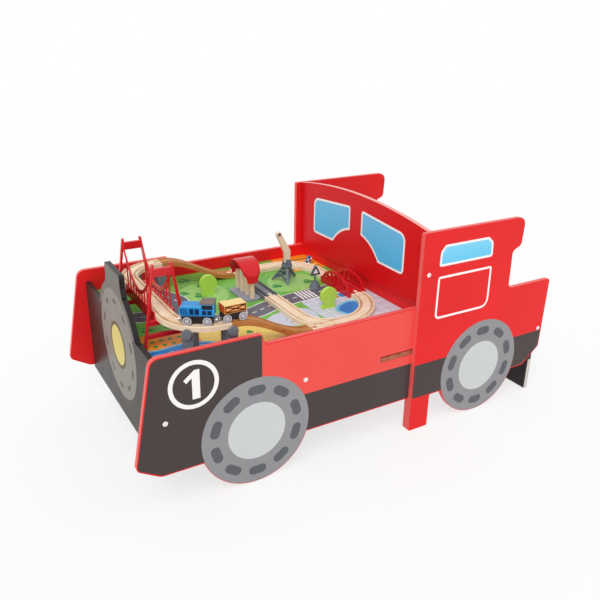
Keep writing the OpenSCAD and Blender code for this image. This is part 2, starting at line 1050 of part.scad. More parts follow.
// A straight with a branch that turns off towards the link track
module near_switch() {
    length = branch_cx - switch_x;
    color(BEECH)
        difference() {
            union() {
                heading(switch_x, near_y, 0) {
                    straight_bed(length);
                    translate([length, 0, 0])
                        peg();
                }
                heading(branch_cx, near_join_y, 180)
                    arc_bed(90, branch_r);
                heading(link_x, near_join_y, 90)
                    peg();
            }
            heading(switch_x, near_y, 0) {
                straight_grooves(length);
                peg(peg_fit);
            }
            heading(branch_cx, near_join_y, 180)
                arc_grooves(90, branch_r);
        }
}

module far_switch() {
    length = right_cx - switch_x;
    color(BEECH)
        difference() {
            union() {
                heading(right_cx, far_y, 180) {
                    straight_bed(length);
                    translate([length, 0, 0])
                        peg();
                }
                heading(branch_cx, far_join_y, 90)
                    arc_bed(90, branch_r);
            }
            heading(right_cx, far_y, 180) {
                straight_grooves(length);
                peg(peg_fit);
            }
            heading(branch_cx, far_join_y, 90)
                arc_grooves(90, branch_r);
            heading(link_x, far_join_y, 90)
                peg(peg_fit);
        }
}

// Height of a ramp's top, from its level upper end down to its level foot in a smooth bend
function ramp_z(d) =
    let (s = max(0, min(1, (d - ramp_flat) / (ramp_len - ramp_flat - ramp_tail))))
    track_t + raise_h * (1 - s * s * (3 - 2 * s));

// A slab along the ramp, between two heights measured from its top
module ramp_slab(low, high) {
    bend = [for (i = [0:ramp_steps]) ramp_flat + (ramp_len - ramp_flat - ramp_tail) * i / ramp_steps];
    run = concat([-overlap], bend, [ramp_len + overlap]);
    rotate([90, 0, 0])
        linear_extrude(track_w, center = true)
            polygon(concat(
                [for (d = run) [d, ramp_z(d) + high]],
                [for (i = [len(run) - 1:-1:0]) [run[i], ramp_z(run[i]) + low]]
            ));
}

// A ramp that runs down along +X from the origin, with its peg at the head or at the foot
module ramp_track(peg_at_head) {
    difference() {
        union() {
            intersection() {
                ramp_slab(-track_t, 0);
                translate([0, -track_w, 0])
                    cube([ramp_len, 2 * track_w, raise_h + track_t]);
            }
            if (peg_at_head)
                translate([0, 0, raise_h])
                    rotate([0, 0, 180])
                        peg();
            else
                translate([ramp_len, 0, 0])
                    peg();
        }
        intersection() {
            ramp_slab(-groove_d, overlap);
            for (side = [-1, 1])
                translate([-overlap, side * groove_gap / 2 - groove_w / 2, 0])
                    cube([ramp_len + 2 * overlap, groove_w, raise_h + track_t + overlap]);
        }
        if (peg_at_head)
            translate([ramp_len, 0, 0])
                rotate([0, 0, 180])
                    peg(peg_fit);
        else
            translate([0, 0, raise_h])
                peg(peg_fit);
    }
}

module near_ramp() {
    color("peru")
        heading(ramp_x, near_y, 0)
            ramp_track(false);
}

module far_ramp() {
    color("peru")
        heading(ramp_x, far_y, 0)
            ramp_track(true);
}

module far_raised_curve() {
    color(BEECH)
        difference() {
            union() {
                heading(left_cx, far_y, 0, raised_h)
                    straight_bed(raised_end);
                heading(left_cx, far_cy, 90, raised_h)
                    arc_bed(90);
                heading(bridge_x, far_cy, -90, raised_h) {
                    straight_bed(stub_len);
                    translate([stub_len, 0, 0])
                        peg();
                }
            }
            heading(left_cx, far_y, 0, raised_h)
                straight_grooves(raised_end);
            heading(ramp_x, far_y, 180, raised_h)
                peg(peg_fit);
            heading(left_cx, far_cy, 90, raised_h)
                arc_grooves(90);
            heading(bridge_x, far_cy, -90, raised_h)
                straight_grooves(stub_len);
        }
}

// A grey pier with a round knob on its outer face, beside the track's edge
module pier(x, y, angle) {
    heading(x, y, angle) {
        translate([-pier_w / 2, -pier_w / 2, 0])
            cube([pier_w / 2 + pier_out, pier_w, raise_h]);
        translate([pier_out - overlap, 0, raise_h - pier_knob_drop])
            rotate([0, 90, 0])
                cylinder(d = pier_knob_d, h = pier_knob_t + overlap, $fn = 32);
    }
}

module track_piers() {
    color(TOY_GREY) {
        pier(left_cx + curve_r * cos(pier_angle), near_cy + curve_r * sin(pier_angle), pier_angle);
        pier(ramp_x, near_y, -90);
        pier(left_cx + curve_r * cos(pier_angle), far_cy - curve_r * sin(pier_angle), -pier_angle);
        pier(ramp_x, far_y, 90);
    }
}

// Bridge

module bridge_deck() {
    color(BEECH)
        difference() {
            heading(bridge_x, deck_far_y, -90, raised_h) {
                straight_bed(deck_len);
                translate([deck_len, 0, 0])
                    peg();
            }
            heading(bridge_x, deck_far_y, -90, raised_h) {
                straight_grooves(deck_len);
                peg(peg_fit);
            }
        }
}

// Half distance between a tower's leg centres at a height over the board
function tower_half(z) = (tower_foot_w + (tower_top_w - tower_foot_w) * z / tower_h) / 2;

module tower_leg() {
    polygon([
        [tower_half(0) - tower_leg / 2, 0], [tower_half(0) + tower_leg / 2, 0],
        [tower_half(tower_h) + tower_leg / 2, tower_h], [tower_half(tower_h) - tower_leg / 2, tower_h],
    ]);
}

// A bar between the tower's legs, from one height to another
module tower_bar(low, high) {
    polygon([
        [-tower_half(low), low], [tower_half(low), low],
        [tower_half(high), high], [-tower_half(high), high],
    ]);
}

module bridge_towers() {
    color("red")
        for (y = [tower_near_y, tower_far_y])
            in_frame()
                translate([bridge_x, y + tower_t / 2, play_h])
                    rotate([90, 0, 0])
                        linear_extrude(tower_t) {
                            for (side = [0, 1])
                                mirror([side, 0])
                                    tower_leg();
                            for (b = TOWER_BARS)
                                tower_bar(b[0], b[1]);
                        }
}

// Height of the cable's top over the deck, at a distance from the middle of the span
function cable_z(d) = cable_low + (cable_top - cable_low) * pow(d / side_half, 2);

// One cable side in its own plane, with the deck's top at height 0
module cable_side() {
    span = [for (i = [0:cable_steps]) -side_half + side_len * i / cable_steps];
    pitch = side_len / (hangers + 1);
    translate([-side_half, -side_drop])
        square([side_len, side_drop + sill_h]);
    polygon(concat(
        [for (d = span) [d, cable_z(d)]],
        [for (i = [cable_steps:-1:0]) [span[i], cable_z(span[i]) - cable_t]]
    ));
    for (i = [1:hangers])
        translate([-side_half + pitch * i - hanger_t / 2, 0])
            square([hanger_t, cable_z(-side_half + pitch * i) - cable_t / 2]);
}

module bridge_sides() {
    color("red")
        for (x = [-side_y - side_t, side_y])
            in_frame()
                translate([0, tower_mid_y, deck_top])
                    board_yz(bridge_x + x, side_t)
                        cable_side();
}

// Station

module station_place() {
    in_frame()
        translate([station_x, station_y, play_h])
            children();
}

module station_base() {
    half_w = station_w / 2;
    half_l = station_len / 2;
    corner_r = 14;
    color(TOY_GREY)
        station_place()
            linear_extrude(station_base_t)
                polygon(rounded([
                    [-half_w, -half_l, corner_r],
                    [half_w, -half_l, corner_r],
                    [half_w, half_l, corner_r],
                    [-half_w, half_l, corner_r],
                ]));
}

// Height of the roof's underside over its lower edges, at a distance from its middle
function roof_under(d) = sqrt(pow(station_inner_r, 2) - d * d);

module station_posts() {
    half = station_post / 2;
    color(BEECH)
        station_place()
            for (y = STATION_POSTS)
                block([-half, y - half, station_base_t],
                    [half, y + half, station_spring + roof_under(abs(y) + half) - board_fit]);
}

// A half-round roof that narrows to a tip over its near and far posts
module station_roof() {
    wide = station_roof_w / 2;
    tip = station_tip_w / 2;
    r = station_roof_r;
    full_y = 0.5 * r;
    shoulder_y = 0.8 * r;
    shoulder = wide - 4;
    color("red")
        station_place()
            intersection() {
                translate([-wide, 0, station_spring])
                    rotate([0, 90, 0])
                        difference() {
                            cylinder(r = r, h = station_roof_w, $fn = 96);
                            translate([0, 0, -overlap])
                                cylinder(r = station_inner_r, h = station_roof_w + 2 * overlap, $fn = 96);
                        }
                translate([0, 0, station_spring])
                    linear_extrude(r + overlap)
                        polygon([
                            [-tip, -r - overlap], [tip, -r - overlap],
                            [shoulder, -shoulder_y], [wide, -full_y], [wide, full_y], [shoulder, shoulder_y],
                            [tip, r + overlap], [-tip, r + overlap],
                            [-shoulder, shoulder_y], [-wide, full_y],
                            [-wide, -full_y], [-shoulder, -shoulder_y],
                        ]);
            }
}

// Girder bridge over the right track

// Height of a girder's arch at a distance from its middle, for an arch of a given half length and rise
function girder_z(d, half, rise) =
    rise * sqrt(max(0, 1 - pow(min(1, abs(d) / half), girder_power)));

module girder_arch(half, rise, foot) {
    polygon(concat(
        [[-half, foot], [half, foot]],
        [for (i = [1:girder_steps - 1])
            let (d = half * cos(180 * i / girder_steps))
            [d, girder_z(d, half, rise)]]
    ));
}

// One girder in its own plane: an arch on a sill, with openings between upright bars
module girder() {
    half = girder_half - girder_bar;
    pitch = 2 * half / girder_cells;
    difference() {
        union() {
            girder_arch(girder_half, girder_h, 0);
            translate([-girder_run / 2, 0])
                square([girder_run, girder_sill]);
        }
        intersection() {
            girder_arch(half, girder_h - girder_bar, 0);
            for (i = [0:girder_cells - 1])
                translate([-half + pitch * i + girder_bar / 3, girder_sill])
                    square([pitch - 2 * girder_bar / 3, girder_h]);
        }
    }
}

module girder_sides() {
    inner = track_w / 2 + board_fit;
    color("red")
        in_frame()
            translate([right_x, (girder_start + girder_end) / 2, play_h])
                for (x = [-inner - girder_t, inner])
                    board_yz(x, girder_t)
                        girder();
}

// Trees and signs

module trees() {
    color("yellowgreen")
        for (p = TREE_PLACES)
            in_frame()
                translate([p.x, p.y + flat_t / 2, play_h])
                    rotate([90, 0, 0])
                        linear_extrude(flat_t) {
                            translate([0, tree_h - tree_d / 2])
                                circle(tree_d / 2, $fn = 48);
                            polygon(rounded([
                                [-tree_foot_w / 2, 0, 0],
                                [tree_foot_w / 2, 0, 0],
                                [tree_foot_w / 2, tree_foot_h, 3],
                                [tree_trunk_w / 2 + 1, tree_foot_h + 3, 4],
                                [tree_trunk_w / 2, tree_h - tree_d / 2, 0],
                                [-tree_trunk_w / 2, tree_h - tree_d / 2, 0],
                                [-tree_trunk_w / 2 - 1, tree_foot_h + 3, 4],
                                [-tree_foot_w / 2, tree_foot_h, 3],
                            ]));
                        }
}

module triangle_sign() {
    half = triangle_side / 2;
    color(TOY_GREY)
        in_frame()
            translate([triangle_sign_at.x, triangle_sign_at.y, play_h]) {
                cylinder(d1 = triangle_base_d, d2 = triangle_base_d / 2, h = triangle_base_h, $fn = 32);
                cylinder(d = sign_post, h = sign_h - triangle_rise / 2, $fn = 24);
                translate([0, sign_post / 2, sign_h - triangle_rise])
                    rotate([90, 0, 0])
                        linear_extrude(sign_post)
                            polygon(rounded([[-half, 0, 2], [half, 0, 2], [0, triangle_rise, 2]]));
            }
}

module flag_sign() {
    color("steelblue")
        in_frame()
            translate([flag_sign_at.x, flag_sign_at.y, play_h]) {
                cylinder(d = flag_base_d, h = flag_base_t, $fn = 32);
                cylinder(d = sign_post, h = flag_h, $fn = 24);
                translate([0, 0, flag_h])
                    rotate([0, flag_lean, 0])
                        cube([flag_w, sign_post, flag_len], center = true);
            }
}

// Crane: a three-legged lattice stand and a head, with a bent boom that swings on a pin across Y

module crane_place(z = play_h) {
    in_frame()
        translate([crane_at.x, crane_at.y, z])
            children();
}

// A square bar from one point to another
module bar(from, to, width) {
    run = to - from;
    translate(from)
        rotate([0, acos(run.z / norm(run)), atan2(run.y, run.x)])
            translate([-width / 2, -width / 2, 0])
                cube([width, width, norm(run)]);
}

// A point on a crane leg's centre line, at a height over the board
function crane_leg(angle, z) =
    let (r = crane_reach + (crane_leg_top - crane_reach) * z / crane_head_h)
    [r * cos(angle), r * sin(angle), z];

module crane_stand() {
    half = crane_bar / 2;
    color(TOY_GREY)
        crane_place()
            for (i = [0:2]) {
                a = CRANE_LEGS[i];
                b = CRANE_LEGS[(i + 1) % 3];
                rotate([0, 0, a])
                    board_xz(-half, crane_bar)
                        polygon([
                            [crane_reach - half, 0], [crane_reach + half, 0],
                            [crane_leg_top + half, crane_head_h], [crane_leg_top - half, crane_head_h],
                        ]);
                bar(crane_leg(a, brace_low), crane_leg(b, brace_high), brace_w);
                bar(crane_leg(b, brace_low + brace_shift), crane_leg(a, brace_high - brace_shift),
                    cross_brace_w);
                bar(crane_leg(a, ring_h), crane_leg(b, ring_h), ring_w);
            }
}

// The disc on the stand's legs, with the two ears that hold the boom
module crane_head() {
    ear_y = boom_t / 2 + boom_play;
    color(TOY_GREY)
        crane_place()
            difference() {
                union() {
                    translate([0, 0, crane_head_h])
                        cylinder(d = crane_head_d, h = crane_head_t, $fn = 48);
                    for (side = [0, 1])
                        mirror([0, side, 0])
                            board_xz(ear_y, ear_t) {
                                translate([-ear_w / 2, crane_head_h])
                                    square([ear_w, ear_h]);
                                translate([0, crane_h])
                                    circle(ear_w / 2, $fn = 32);
                            }
                }
                translate([0, 0, crane_h])
                    rotate([90, 0, 0])
                        cylinder(d = pivot_d + 2 * axle_fit, h = 2 * crane_head_d, center = true, $fn = 32);
            }
}

module crane_pivot_pin() {
    pin_len = boom_t + 2 * (boom_play + ear_t + pin_proud);
    color("silver")
        crane_place(pivot_h)
            rotate([90, 0, 0])
                cylinder(d = pivot_d, h = pin_len, center = true, $fn = 32);
}

boom_knee = [0, boom_foot];
boom_tip = boom_knee + boom_arm * [-sin(boom_lean), cos(boom_lean)];

// A straight stretch of the boom between two round ends
module limb(from, to, from_r, to_r) {
    run = unit(to - from);
    side = [-run.y, run.x];
    polygon([from + from_r * side, from - from_r * side, to - to_r * side, to + to_r * side]);
    translate(from)
        circle(from_r, $fn = 40);
    translate(to)
        circle(to_r, $fn = 40);
}

module crane_boom() {
    foot_r = ear_h - crane_head_t - boom_clear;
    color(BEECH)
        crane_place(pivot_h)
            difference() {
                board_xz(-boom_t / 2, boom_t) {
                    limb([0, 0], boom_knee, min(foot_r, boom_w / 2), boom_w / 2);
                    limb(boom_knee, boom_tip, boom_w / 2, boom_tip_w / 2);
                }
                rotate([90, 0, 0])
                    cylinder(d = pivot_d + 2 * axle_fit, h = 2 * boom_t, center = true, $fn = 32);
                translate([boom_tip.x, 0, boom_tip.y])
                    rotate([90, 0, 0])
                        cylinder(d = tip_pin_d + 2 * axle_fit, h = 2 * boom_t, center = true, $fn = 32);
            }
}

module boom_tip_pin() {
    color("silver")
        crane_place(pivot_h)
            translate([boom_tip.x, 0, boom_tip.y])
                rotate([90, 0, 0])
                    cylinder(d = tip_pin_d, h = boom_t + 2 * pin_proud, center = true, $fn = 32);
}

// Train. A vehicle points along its own +X, with its axles across Y at the height of the axles.

engine_r = curve_r - engine_inset;

module engine_place() {
    in_frame()
        translate([left_cx + engine_r * cos(engine_angle), near_cy + engine_r * sin(engine_angle), axle_h])
            rotate([0, 0, engine_angle - 90])
                children();
}

module wagon_place() {
    in_frame()
        translate([left_cx + wagon_x, near_y, axle_h])
            rotate([0, 0, 180])
                children();
}

module chassis(length, base) {
    difference() {
        block([-length / 2, -chassis_w / 2, chassis_low - axle_h],
            [length / 2, chassis_w / 2, chassis_top - axle_h]);
        for (x = [-base / 2, base / 2])
            translate([x, 0, 0])
                rotate([90, 0, 0])
                    cylinder(d = axle_d + 2 * axle_fit, h = 2 * chassis_w, center = true, $fn = 32);
        for (end = [-1, 1])
            translate([end * length / 2, 0, 0])
                rotate([0, 90, 0])
                    cylinder(d = axle_d + 2 * axle_fit, h = 2 * (coupler_sink + axle_fit), center = true,
                        $fn = 32);
    }
}

// Magnet couplers on rods at both ends of a chassis
module couplers(length) {
    for (end = [0, 1])
        mirror([end, 0, 0])
            translate([length / 2, 0, 0])
                rotate([0, 90, 0]) {
                    translate([0, 0, -coupler_sink])
                        cylinder(d = axle_d, h = coupler_sink + coupler_reach, $fn = 32);
                    translate([0, 0, coupler_reach - coupler_t])
                        cylinder(d = coupler_d, h = coupler_t, $fn = 32);
                }
}

// Two wheels pressed on an axle
module wheelset() {
    rotate([90, 0, 0]) {
        cylinder(d = axle_d, h = groove_gap + tread_w + 2 * hub_t, center = true, $fn = 32);
        for (side = [0, 1])
            mirror([0, 0, side])
                translate([0, 0, groove_gap / 2]) {
                    difference() {
                        cylinder(d = train_wheel_d, h = tread_w, center = true, $fn = 48);
                        translate([0, 0, tread_w / 2 - wheel_dish])
                            difference() {
                                cylinder(d = train_wheel_d - 2 * wheel_rim, h = tread_w, $fn = 48);
                                translate([0, 0, -overlap])
                                    cylinder(d = hub_d, h = tread_w + 2 * overlap, $fn = 32);
                            }
                    }
                    translate([0, 0, tread_w / 2 - overlap])
                        cylinder(d = hub_d - 2, h = hub_t + overlap, $fn = 32);
                }
    }
}

engine_chassis_len = engine_len - 2 * chassis_over;
wagon_chassis_len = wagon_len;
body_low = chassis_top - axle_h;

module engine_chassis() {
    color("darkslategray")
        engine_place()
            chassis(engine_chassis_len, engine_base);
}

// A long hood with a taller driver's cab at the rear end
module engine_body() {
    front = engine_len / 2;
    cab_front = engine_cab_len - front;
    hood_top = body_low + engine_h - engine_cab_step;
    color("dodgerblue")
        engine_place()
            board_xz(-train_w / 2, train_w)
                polygon(rounded([
                    [front, body_low, 2],
                    [front, hood_top, 6],
                    [cab_front, hood_top, 3],
                    [cab_front - 1, body_low + engine_h, 0],
                    [-front, body_low + engine_h, 0],
                    [-front, body_low, 2],
                ]));
}

module engine_roof() {
    front = engine_len / 2;
    top = body_low + engine_h;
    color("wheat")
        engine_place()
            board_xz(-train_w / 2 - 1, train_w + 2)
                polygon(rounded([
                    [-front - 1, top, 0],
                    [engine_cab_len - front + 2, top, 0],
                    [engine_cab_len - front + 2, top + roof_t, 2],
                    [-front - 1, top + roof_t, 2],
                ]));
}

module engine_couplers() {
    color("silver")
        engine_place()
            couplers(engine_chassis_len);
}

module engine_front_wheels() {
    color("lightgray")
        engine_place()
            translate([engine_base / 2, 0, 0])
                wheelset();
}

module engine_rear_wheels() {
    color("lightgray")
        engine_place()
            translate([-engine_base / 2, 0, 0])
                wheelset();
}

module wagon_chassis() {
    color("darkslategray")
        wagon_place()
            chassis(wagon_chassis_len, wagon_base);
}

// The four sunk triangles between a crate side's frame and its crossed braces
module crate_pockets(length) {
    half_l = length / 2 - crate_frame;
    low = crate_frame;
    high = crate_h - crate_frame;
    mid = (low + high) / 2;
    brace = crate_frame / 2;
    for (side = [0, 1])
        mirror([side, 0])
            polygon([[-half_l, low + brace], [-brace, mid], [-half_l, high - brace]]);
    polygon([[-half_l + 2 * brace, low], [half_l - 2 * brace, low], [0, mid - brace]]);
    polygon([[-half_l + 2 * brace, high], [half_l - 2 * brace, high], [0, mid + brace]]);
}

module wagon_crate() {
    color("darkorange")
        wagon_place()
            translate([0, 0, body_low])
                difference() {
                    block([-wagon_len / 2, -train_w / 2, 0], [wagon_len / 2, train_w / 2, crate_h]);
                    for (side = [0, 1])
                        mirror([0, side, 0])
                            board_xz(-train_w / 2 - overlap, crate_recess + overlap)
                                crate_pockets(wagon_len);
                }
}

module wagon_couplers() {
    color("silver")
        wagon_place()
            couplers(wagon_chassis_len);
}

module wagon_front_wheels() {
    color("lightgray")
        wagon_place()
            translate([wagon_base / 2, 0, 0])
                wheelset();
}

module wagon_rear_wheels() {
    color("lightgray")
        wagon_place()
            translate([-wagon_base / 2, 0, 0])
                wheelset();
}

hood_panel_near();
hood_panel_far();
cab_panel_near();
cab_panel_far();
front_panel();
windshield_panel();
dash_wall();
shelf_board();
rear_board();
seat_board();
seat_cleats();
cross_beam();
board_battens();
play_board();
cross_bolts();
barrel_nuts();
bolt_caps();
lap_screws();
batten_screws();
near_raised_curve();
near_ramp();
near_switch();
right_near_curve();
girder_deck();
girder_sides();
right_far_straight();
right_far_curve();
far_switch();
far_ramp();
far_raised_curve();
link_track();
level_crossing();
track_piers();
bridge_deck();
bridge_towers();
bridge_sides();
station_base();
station_posts();
station_roof();
trees();
triangle_sign();
flag_sign();
crane_stand();
crane_head();
crane_pivot_pin();
crane_boom();
boom_tip_pin();
engine_chassis();
engine_body();
engine_roof();
engine_couplers();
engine_front_wheels();
engine_rear_wheels();
wagon_chassis();
wagon_crate();
wagon_couplers();
wagon_front_wheels();
wagon_rear_wheels();
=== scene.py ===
"""Looks of a train table: painted boards with prints, a wooden railway and its train."""

import json
import math

import bmesh
import bpy
from mathutils import Matrix, Vector
from mathutils.geometry import tessellate_polygon


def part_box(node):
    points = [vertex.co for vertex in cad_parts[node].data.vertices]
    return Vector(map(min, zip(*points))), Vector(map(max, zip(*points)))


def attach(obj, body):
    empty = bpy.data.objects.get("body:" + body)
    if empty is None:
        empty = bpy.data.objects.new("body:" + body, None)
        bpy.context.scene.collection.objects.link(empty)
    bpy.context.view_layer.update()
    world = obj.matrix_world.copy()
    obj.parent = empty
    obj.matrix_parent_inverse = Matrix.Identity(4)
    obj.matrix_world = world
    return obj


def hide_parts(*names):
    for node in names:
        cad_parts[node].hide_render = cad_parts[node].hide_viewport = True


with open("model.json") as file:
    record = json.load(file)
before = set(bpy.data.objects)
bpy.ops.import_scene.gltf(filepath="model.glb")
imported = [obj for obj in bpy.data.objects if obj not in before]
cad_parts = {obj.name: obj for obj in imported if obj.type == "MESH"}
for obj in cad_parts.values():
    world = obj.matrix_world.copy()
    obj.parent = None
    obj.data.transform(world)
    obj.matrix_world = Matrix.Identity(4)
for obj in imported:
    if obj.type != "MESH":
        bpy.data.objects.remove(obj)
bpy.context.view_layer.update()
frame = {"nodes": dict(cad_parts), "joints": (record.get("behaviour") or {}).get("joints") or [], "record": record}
RECORD = frame["record"]
BODY_OF = {node: body for body, nodes in RECORD["behaviour"]["bodies"].items() for node in nodes}
SLOT_OF = {row["node"]: row["material_slot"] for row in RECORD["subparts"]}
JOINTS = {joint["name"]: joint for joint in frame["joints"]}

# Outlines are drawn in millimetres and placed in metres
MM = 0.001
X = Vector((1, 0, 0))
Y = Vector((0, 1, 0))
Z = Vector((0, 0, 1))


# Colours and shader nodes


def srgb(red, green, blue):
    """An 8-bit colour as linear RGBA."""
    linear = [c / 12.92 if c <= 0.04045 else ((c + 0.055) / 1.055) ** 2.4
              for c in (red / 255, green / 255, blue / 255)]
    return (*linear, 1)


def shade(colour, factor):
    """An 8-bit colour made darker or paler, as linear RGBA."""
    return (*[min(1, c * factor) for c in srgb(*colour)[:3]], 1)


class Shader:
    """A material and its node tree, with short calls for the nodes that the finishes share."""

    def __init__(self, name, roughness, specular=0.5, coat=0, metallic=0):
        self.material = bpy.data.materials.new(name)
        self.material.use_nodes = True
        self.tree = self.material.node_tree
        self.bsdf = self.tree.nodes["Principled BSDF"]
        values = {"Roughness": roughness, "Specular IOR Level": specular, "Metallic": metallic,
                  "Coat Weight": coat}
        for key, value in values.items():
            self.bsdf.inputs[key].default_value = value
        self.place = self.add("TexCoord").outputs["Object"]

    def add(self, kind, settings=None, **inputs):
        node = self.tree.nodes.new("ShaderNode" + kind)
        for key, value in (settings or {}).items():
            setattr(node, key, value)
        for key, value in inputs.items():
            self.put(node.inputs[key.replace("_", " ")], value)
        return node

    def put(self, socket, value):
        """Link an input to a socket, or set its own value."""
        if isinstance(value, bpy.types.NodeSocket):
            self.tree.links.new(value, socket)
        else:
            socket.default_value = value

    def stretched(self, scale):
        return self.add("Mapping", Vector=self.place, Scale=scale).outputs["Vector"]

    def noise(self, scale, detail=3.0, place=None, distortion=0.0):
        node = self.add("TexNoise", Vector=place or self.place, Scale=scale, Detail=detail,
                        Distortion=distortion)
        return node.outputs["Fac"]

    def ramp(self, fac, *stops):
        """A colour ramp through (place, colour) stops."""
        node = self.add("ValToRGB", Fac=fac)
        row = node.color_ramp.elements
        while len(row) < len(stops):
            row.new(1)
        for element, (place, colour) in zip(row, stops):
            element.position = place
            element.color = colour
        return node.outputs["Color"]

    def mix(self, fac, first, second):
        """A blend of two colours, whose inputs and result a Mix node keeps at fixed places."""
        node = self.add("Mix", {"data_type": "RGBA"})
        for index, value in ((0, fac), (6, first), (7, second)):
            self.put(node.inputs[index], value)
        return node.outputs[2]

    def bump(self, height, strength, distance):
        node = self.add("Bump", Strength=strength, Distance=distance, Height=height)
        self.put(self.bsdf.inputs["Normal"], node.outputs["Normal"])

    def colour(self, value):
        self.put(self.bsdf.inputs["Base Color"], value)

    def mottle(self, fac, colour, low, high):
        """A base colour that varies between a darker and a paler tone."""
        self.colour(self.ramp(fac, (0.3, shade(colour, low)), (0.7, shade(colour, high))))

    def rough(self, fac, low, high):
        node = self.add("MapRange", Value=fac, To_Min=low, To_Max=high)
        self.put(self.bsdf.inputs["Roughness"], node.outputs["Result"])


# Finishes


def painted(name, colour, roughness=0.34, specular=0.22, coat=0.05):
    """Satin paint on fibreboard: a cloudy tone, fine orange peel and a few duller patches."""
    s = Shader(name, roughness, specular, coat)
    s.mottle(s.noise(5, 3), colour, 0.94, 1.04)
    s.rough(s.noise(14, 2), roughness - 0.05, roughness + 0.07)
    s.bump(s.noise(600, 2), 0.03, 0.0003)
    return s.material


def lacquer(s, roughness):
    """The thin clear coat over printed colour."""
    s.rough(s.noise(30, 2), roughness - 0.03, roughness + 0.05)
    s.bump(s.noise(500, 2), 0.01, 0.0002)


def ink(name, colour, roughness=0.36, grain=0.03, scale=12, specular=0.22):
    """Printed colour under lacquer, with a faint unevenness."""
    s = Shader(name, roughness, specular)
    s.mottle(s.noise(scale, 4), colour, 1 - grain, 1 + grain)
    lacquer(s, roughness)
    return s.material


def faded_ink(name, low, high, low_h, high_h, roughness=0.3):
    """Printed colour that changes upwards between two heights."""
    s = Shader(name, roughness, 0.22)
    height = s.add("SeparateXYZ", Vector=s.place).outputs["Z"]
    fade = s.add("MapRange", Value=height, From_Min=low_h * MM, From_Max=high_h * MM).outputs["Result"]
    s.colour(s.ramp(fade, (0, srgb(*low)), (1, srgb(*high))))
    lacquer(s, roughness)
    return s.material


def wood(name, pale, dark, grain, roughness=0.5):
    """Sanded wood: soft bands and short flecks that run along the grain's axis."""
    s = Shader(name, roughness, 0.25)
    bands = s.noise(38, 4, s.stretched([0.1 if a else 1 for a in grain]), 0.5)
    flecks = s.noise(260, 3, s.stretched([0.14 if a else 1 for a in grain]))
    tone = s.ramp(bands, (0.32, srgb(*dark)), (0.62, srgb(*pale)))
    fleck_mask = s.ramp(flecks, (0.58, (0, 0, 0, 1)), (0.72, (1, 1, 1, 1)))
    s.colour(s.mix(fleck_mask, tone, shade(dark, 0.82)))
    s.rough(bands, roughness - 0.06, roughness + 0.1)
    s.bump(flecks, 0.12, 0.0003)
    return s.material


def plastic(name, colour, roughness):
    """Moulded plastic: almost even colour and a fine moulded skin."""
    s = Shader(name, roughness, 0.35)
    s.mottle(s.noise(30, 3), colour, 0.96, 1.04)
    s.rough(s.noise(90, 2), roughness - 0.04, roughness + 0.06)
    s.bump(s.noise(1600, 2), 0.06, 0.0002)
    return s.material


def metal(name, colour, roughness):
    """Zinc plate with fine turning marks."""
    s = Shader(name, roughness, metallic=1)
    marks = s.noise(900, 2, s.stretched([1, 0.1, 1]))
    s.mottle(marks, colour, 0.85, 1)
    s.rough(marks, roughness - 0.05, roughness + 0.12)
    s.bump(marks, 0.08, 0.0001)
    return s.material


BEECH = (250, 230, 202)
BEECH_DARK = (240, 210, 174)

paint_red = painted("paint_red", (234, 36, 38), specular=0.16, coat=0)
paint_deep_red = painted("paint_deep_red", (222, 20, 28), specular=0.12, coat=0)
# The paler board edge finishes paint highlight on the boards' edge faces and rounded edges
paint_red_edge_highlight = painted("paint_red_edge_highlight", (240, 98, 94), 0.4)
paint_pale_edge_highlight = painted("paint_pale_edge_highlight", (246, 168, 162), 0.4)
paint_black = painted("paint_black", (38, 34, 33), 0.36)
paint_black_edge_highlight = painted("paint_black_edge_highlight", (70, 64, 62), 0.4)
paint_front = painted("paint_front", (50, 46, 40), 0.3, 0.08, 0)
shelf_stain = wood("shelf_stain", (186, 106, 80), (156, 80, 58), Y)
beech_x = wood("beech_along_x", BEECH, BEECH_DARK, X)
beech_y = wood("beech_along_y", BEECH, BEECH_DARK, Y)
beech_z = wood("beech_along_z", BEECH, BEECH_DARK, Z)
# Paler beech for rounded edges: painted highlight
beech_edge_highlight = wood("beech_edge_highlight", (252, 238, 216), BEECH, X, 0.55)
# Darker beech for groove floors: painted shade
beech_groove_shade = wood("beech_groove_shade", (214, 174, 132), (190, 146, 104), X, 0.6)
ramp_wood = wood("ramp_wood", (206, 140, 78), (176, 108, 52), X)
# Paler ramp wood for rounded edges: painted highlight
ramp_edge_highlight = wood("ramp_edge_highlight", (222, 164, 104), (196, 130, 70), X, 0.55)
# Darker ramp wood for groove floors: painted shade
ramp_groove_shade = wood("ramp_groove_shade", (158, 96, 48), (128, 74, 34), X, 0.6)
red_plastic = plastic("red_plastic", (214, 24, 32), 0.22)
# Paler red for rounded edges: painted highlight
red_plastic_edge_highlight = plastic("red_plastic_edge_highlight", (232, 66, 66), 0.25)
# Darker red for the girder deck's groove floors: painted shade
red_plastic_groove_shade = plastic("red_plastic_groove_shade", (160, 14, 22), 0.3)
grey_plastic = plastic("grey_plastic", (104, 114, 124), 0.42)
# Paler than the grey plastic: painted highlight on the grey mouldings' rounded edges
grey_plastic_edge = plastic("grey_plastic_edge", (134, 143, 152), 0.45)
slate_plastic = plastic("slate_plastic", (120, 126, 132), 0.45)
# Paler slate for rounded edges: painted highlight
slate_plastic_edge_highlight = plastic("slate_plastic_edge_highlight", (150, 156, 162), 0.48)
station_grey = plastic("station_grey", (150, 152, 166), 0.45)
crossing_grey = plastic("crossing_grey", (126, 128, 134), 0.5)
green_paint = painted("green_paint", (184, 228, 88), 0.42)
# Paler green for rounded edges: painted highlight
green_paint_edge_highlight = painted("green_paint_edge_highlight", (204, 236, 128), 0.45)
blue_paint = painted("blue_paint", (22, 142, 214), 0.3)
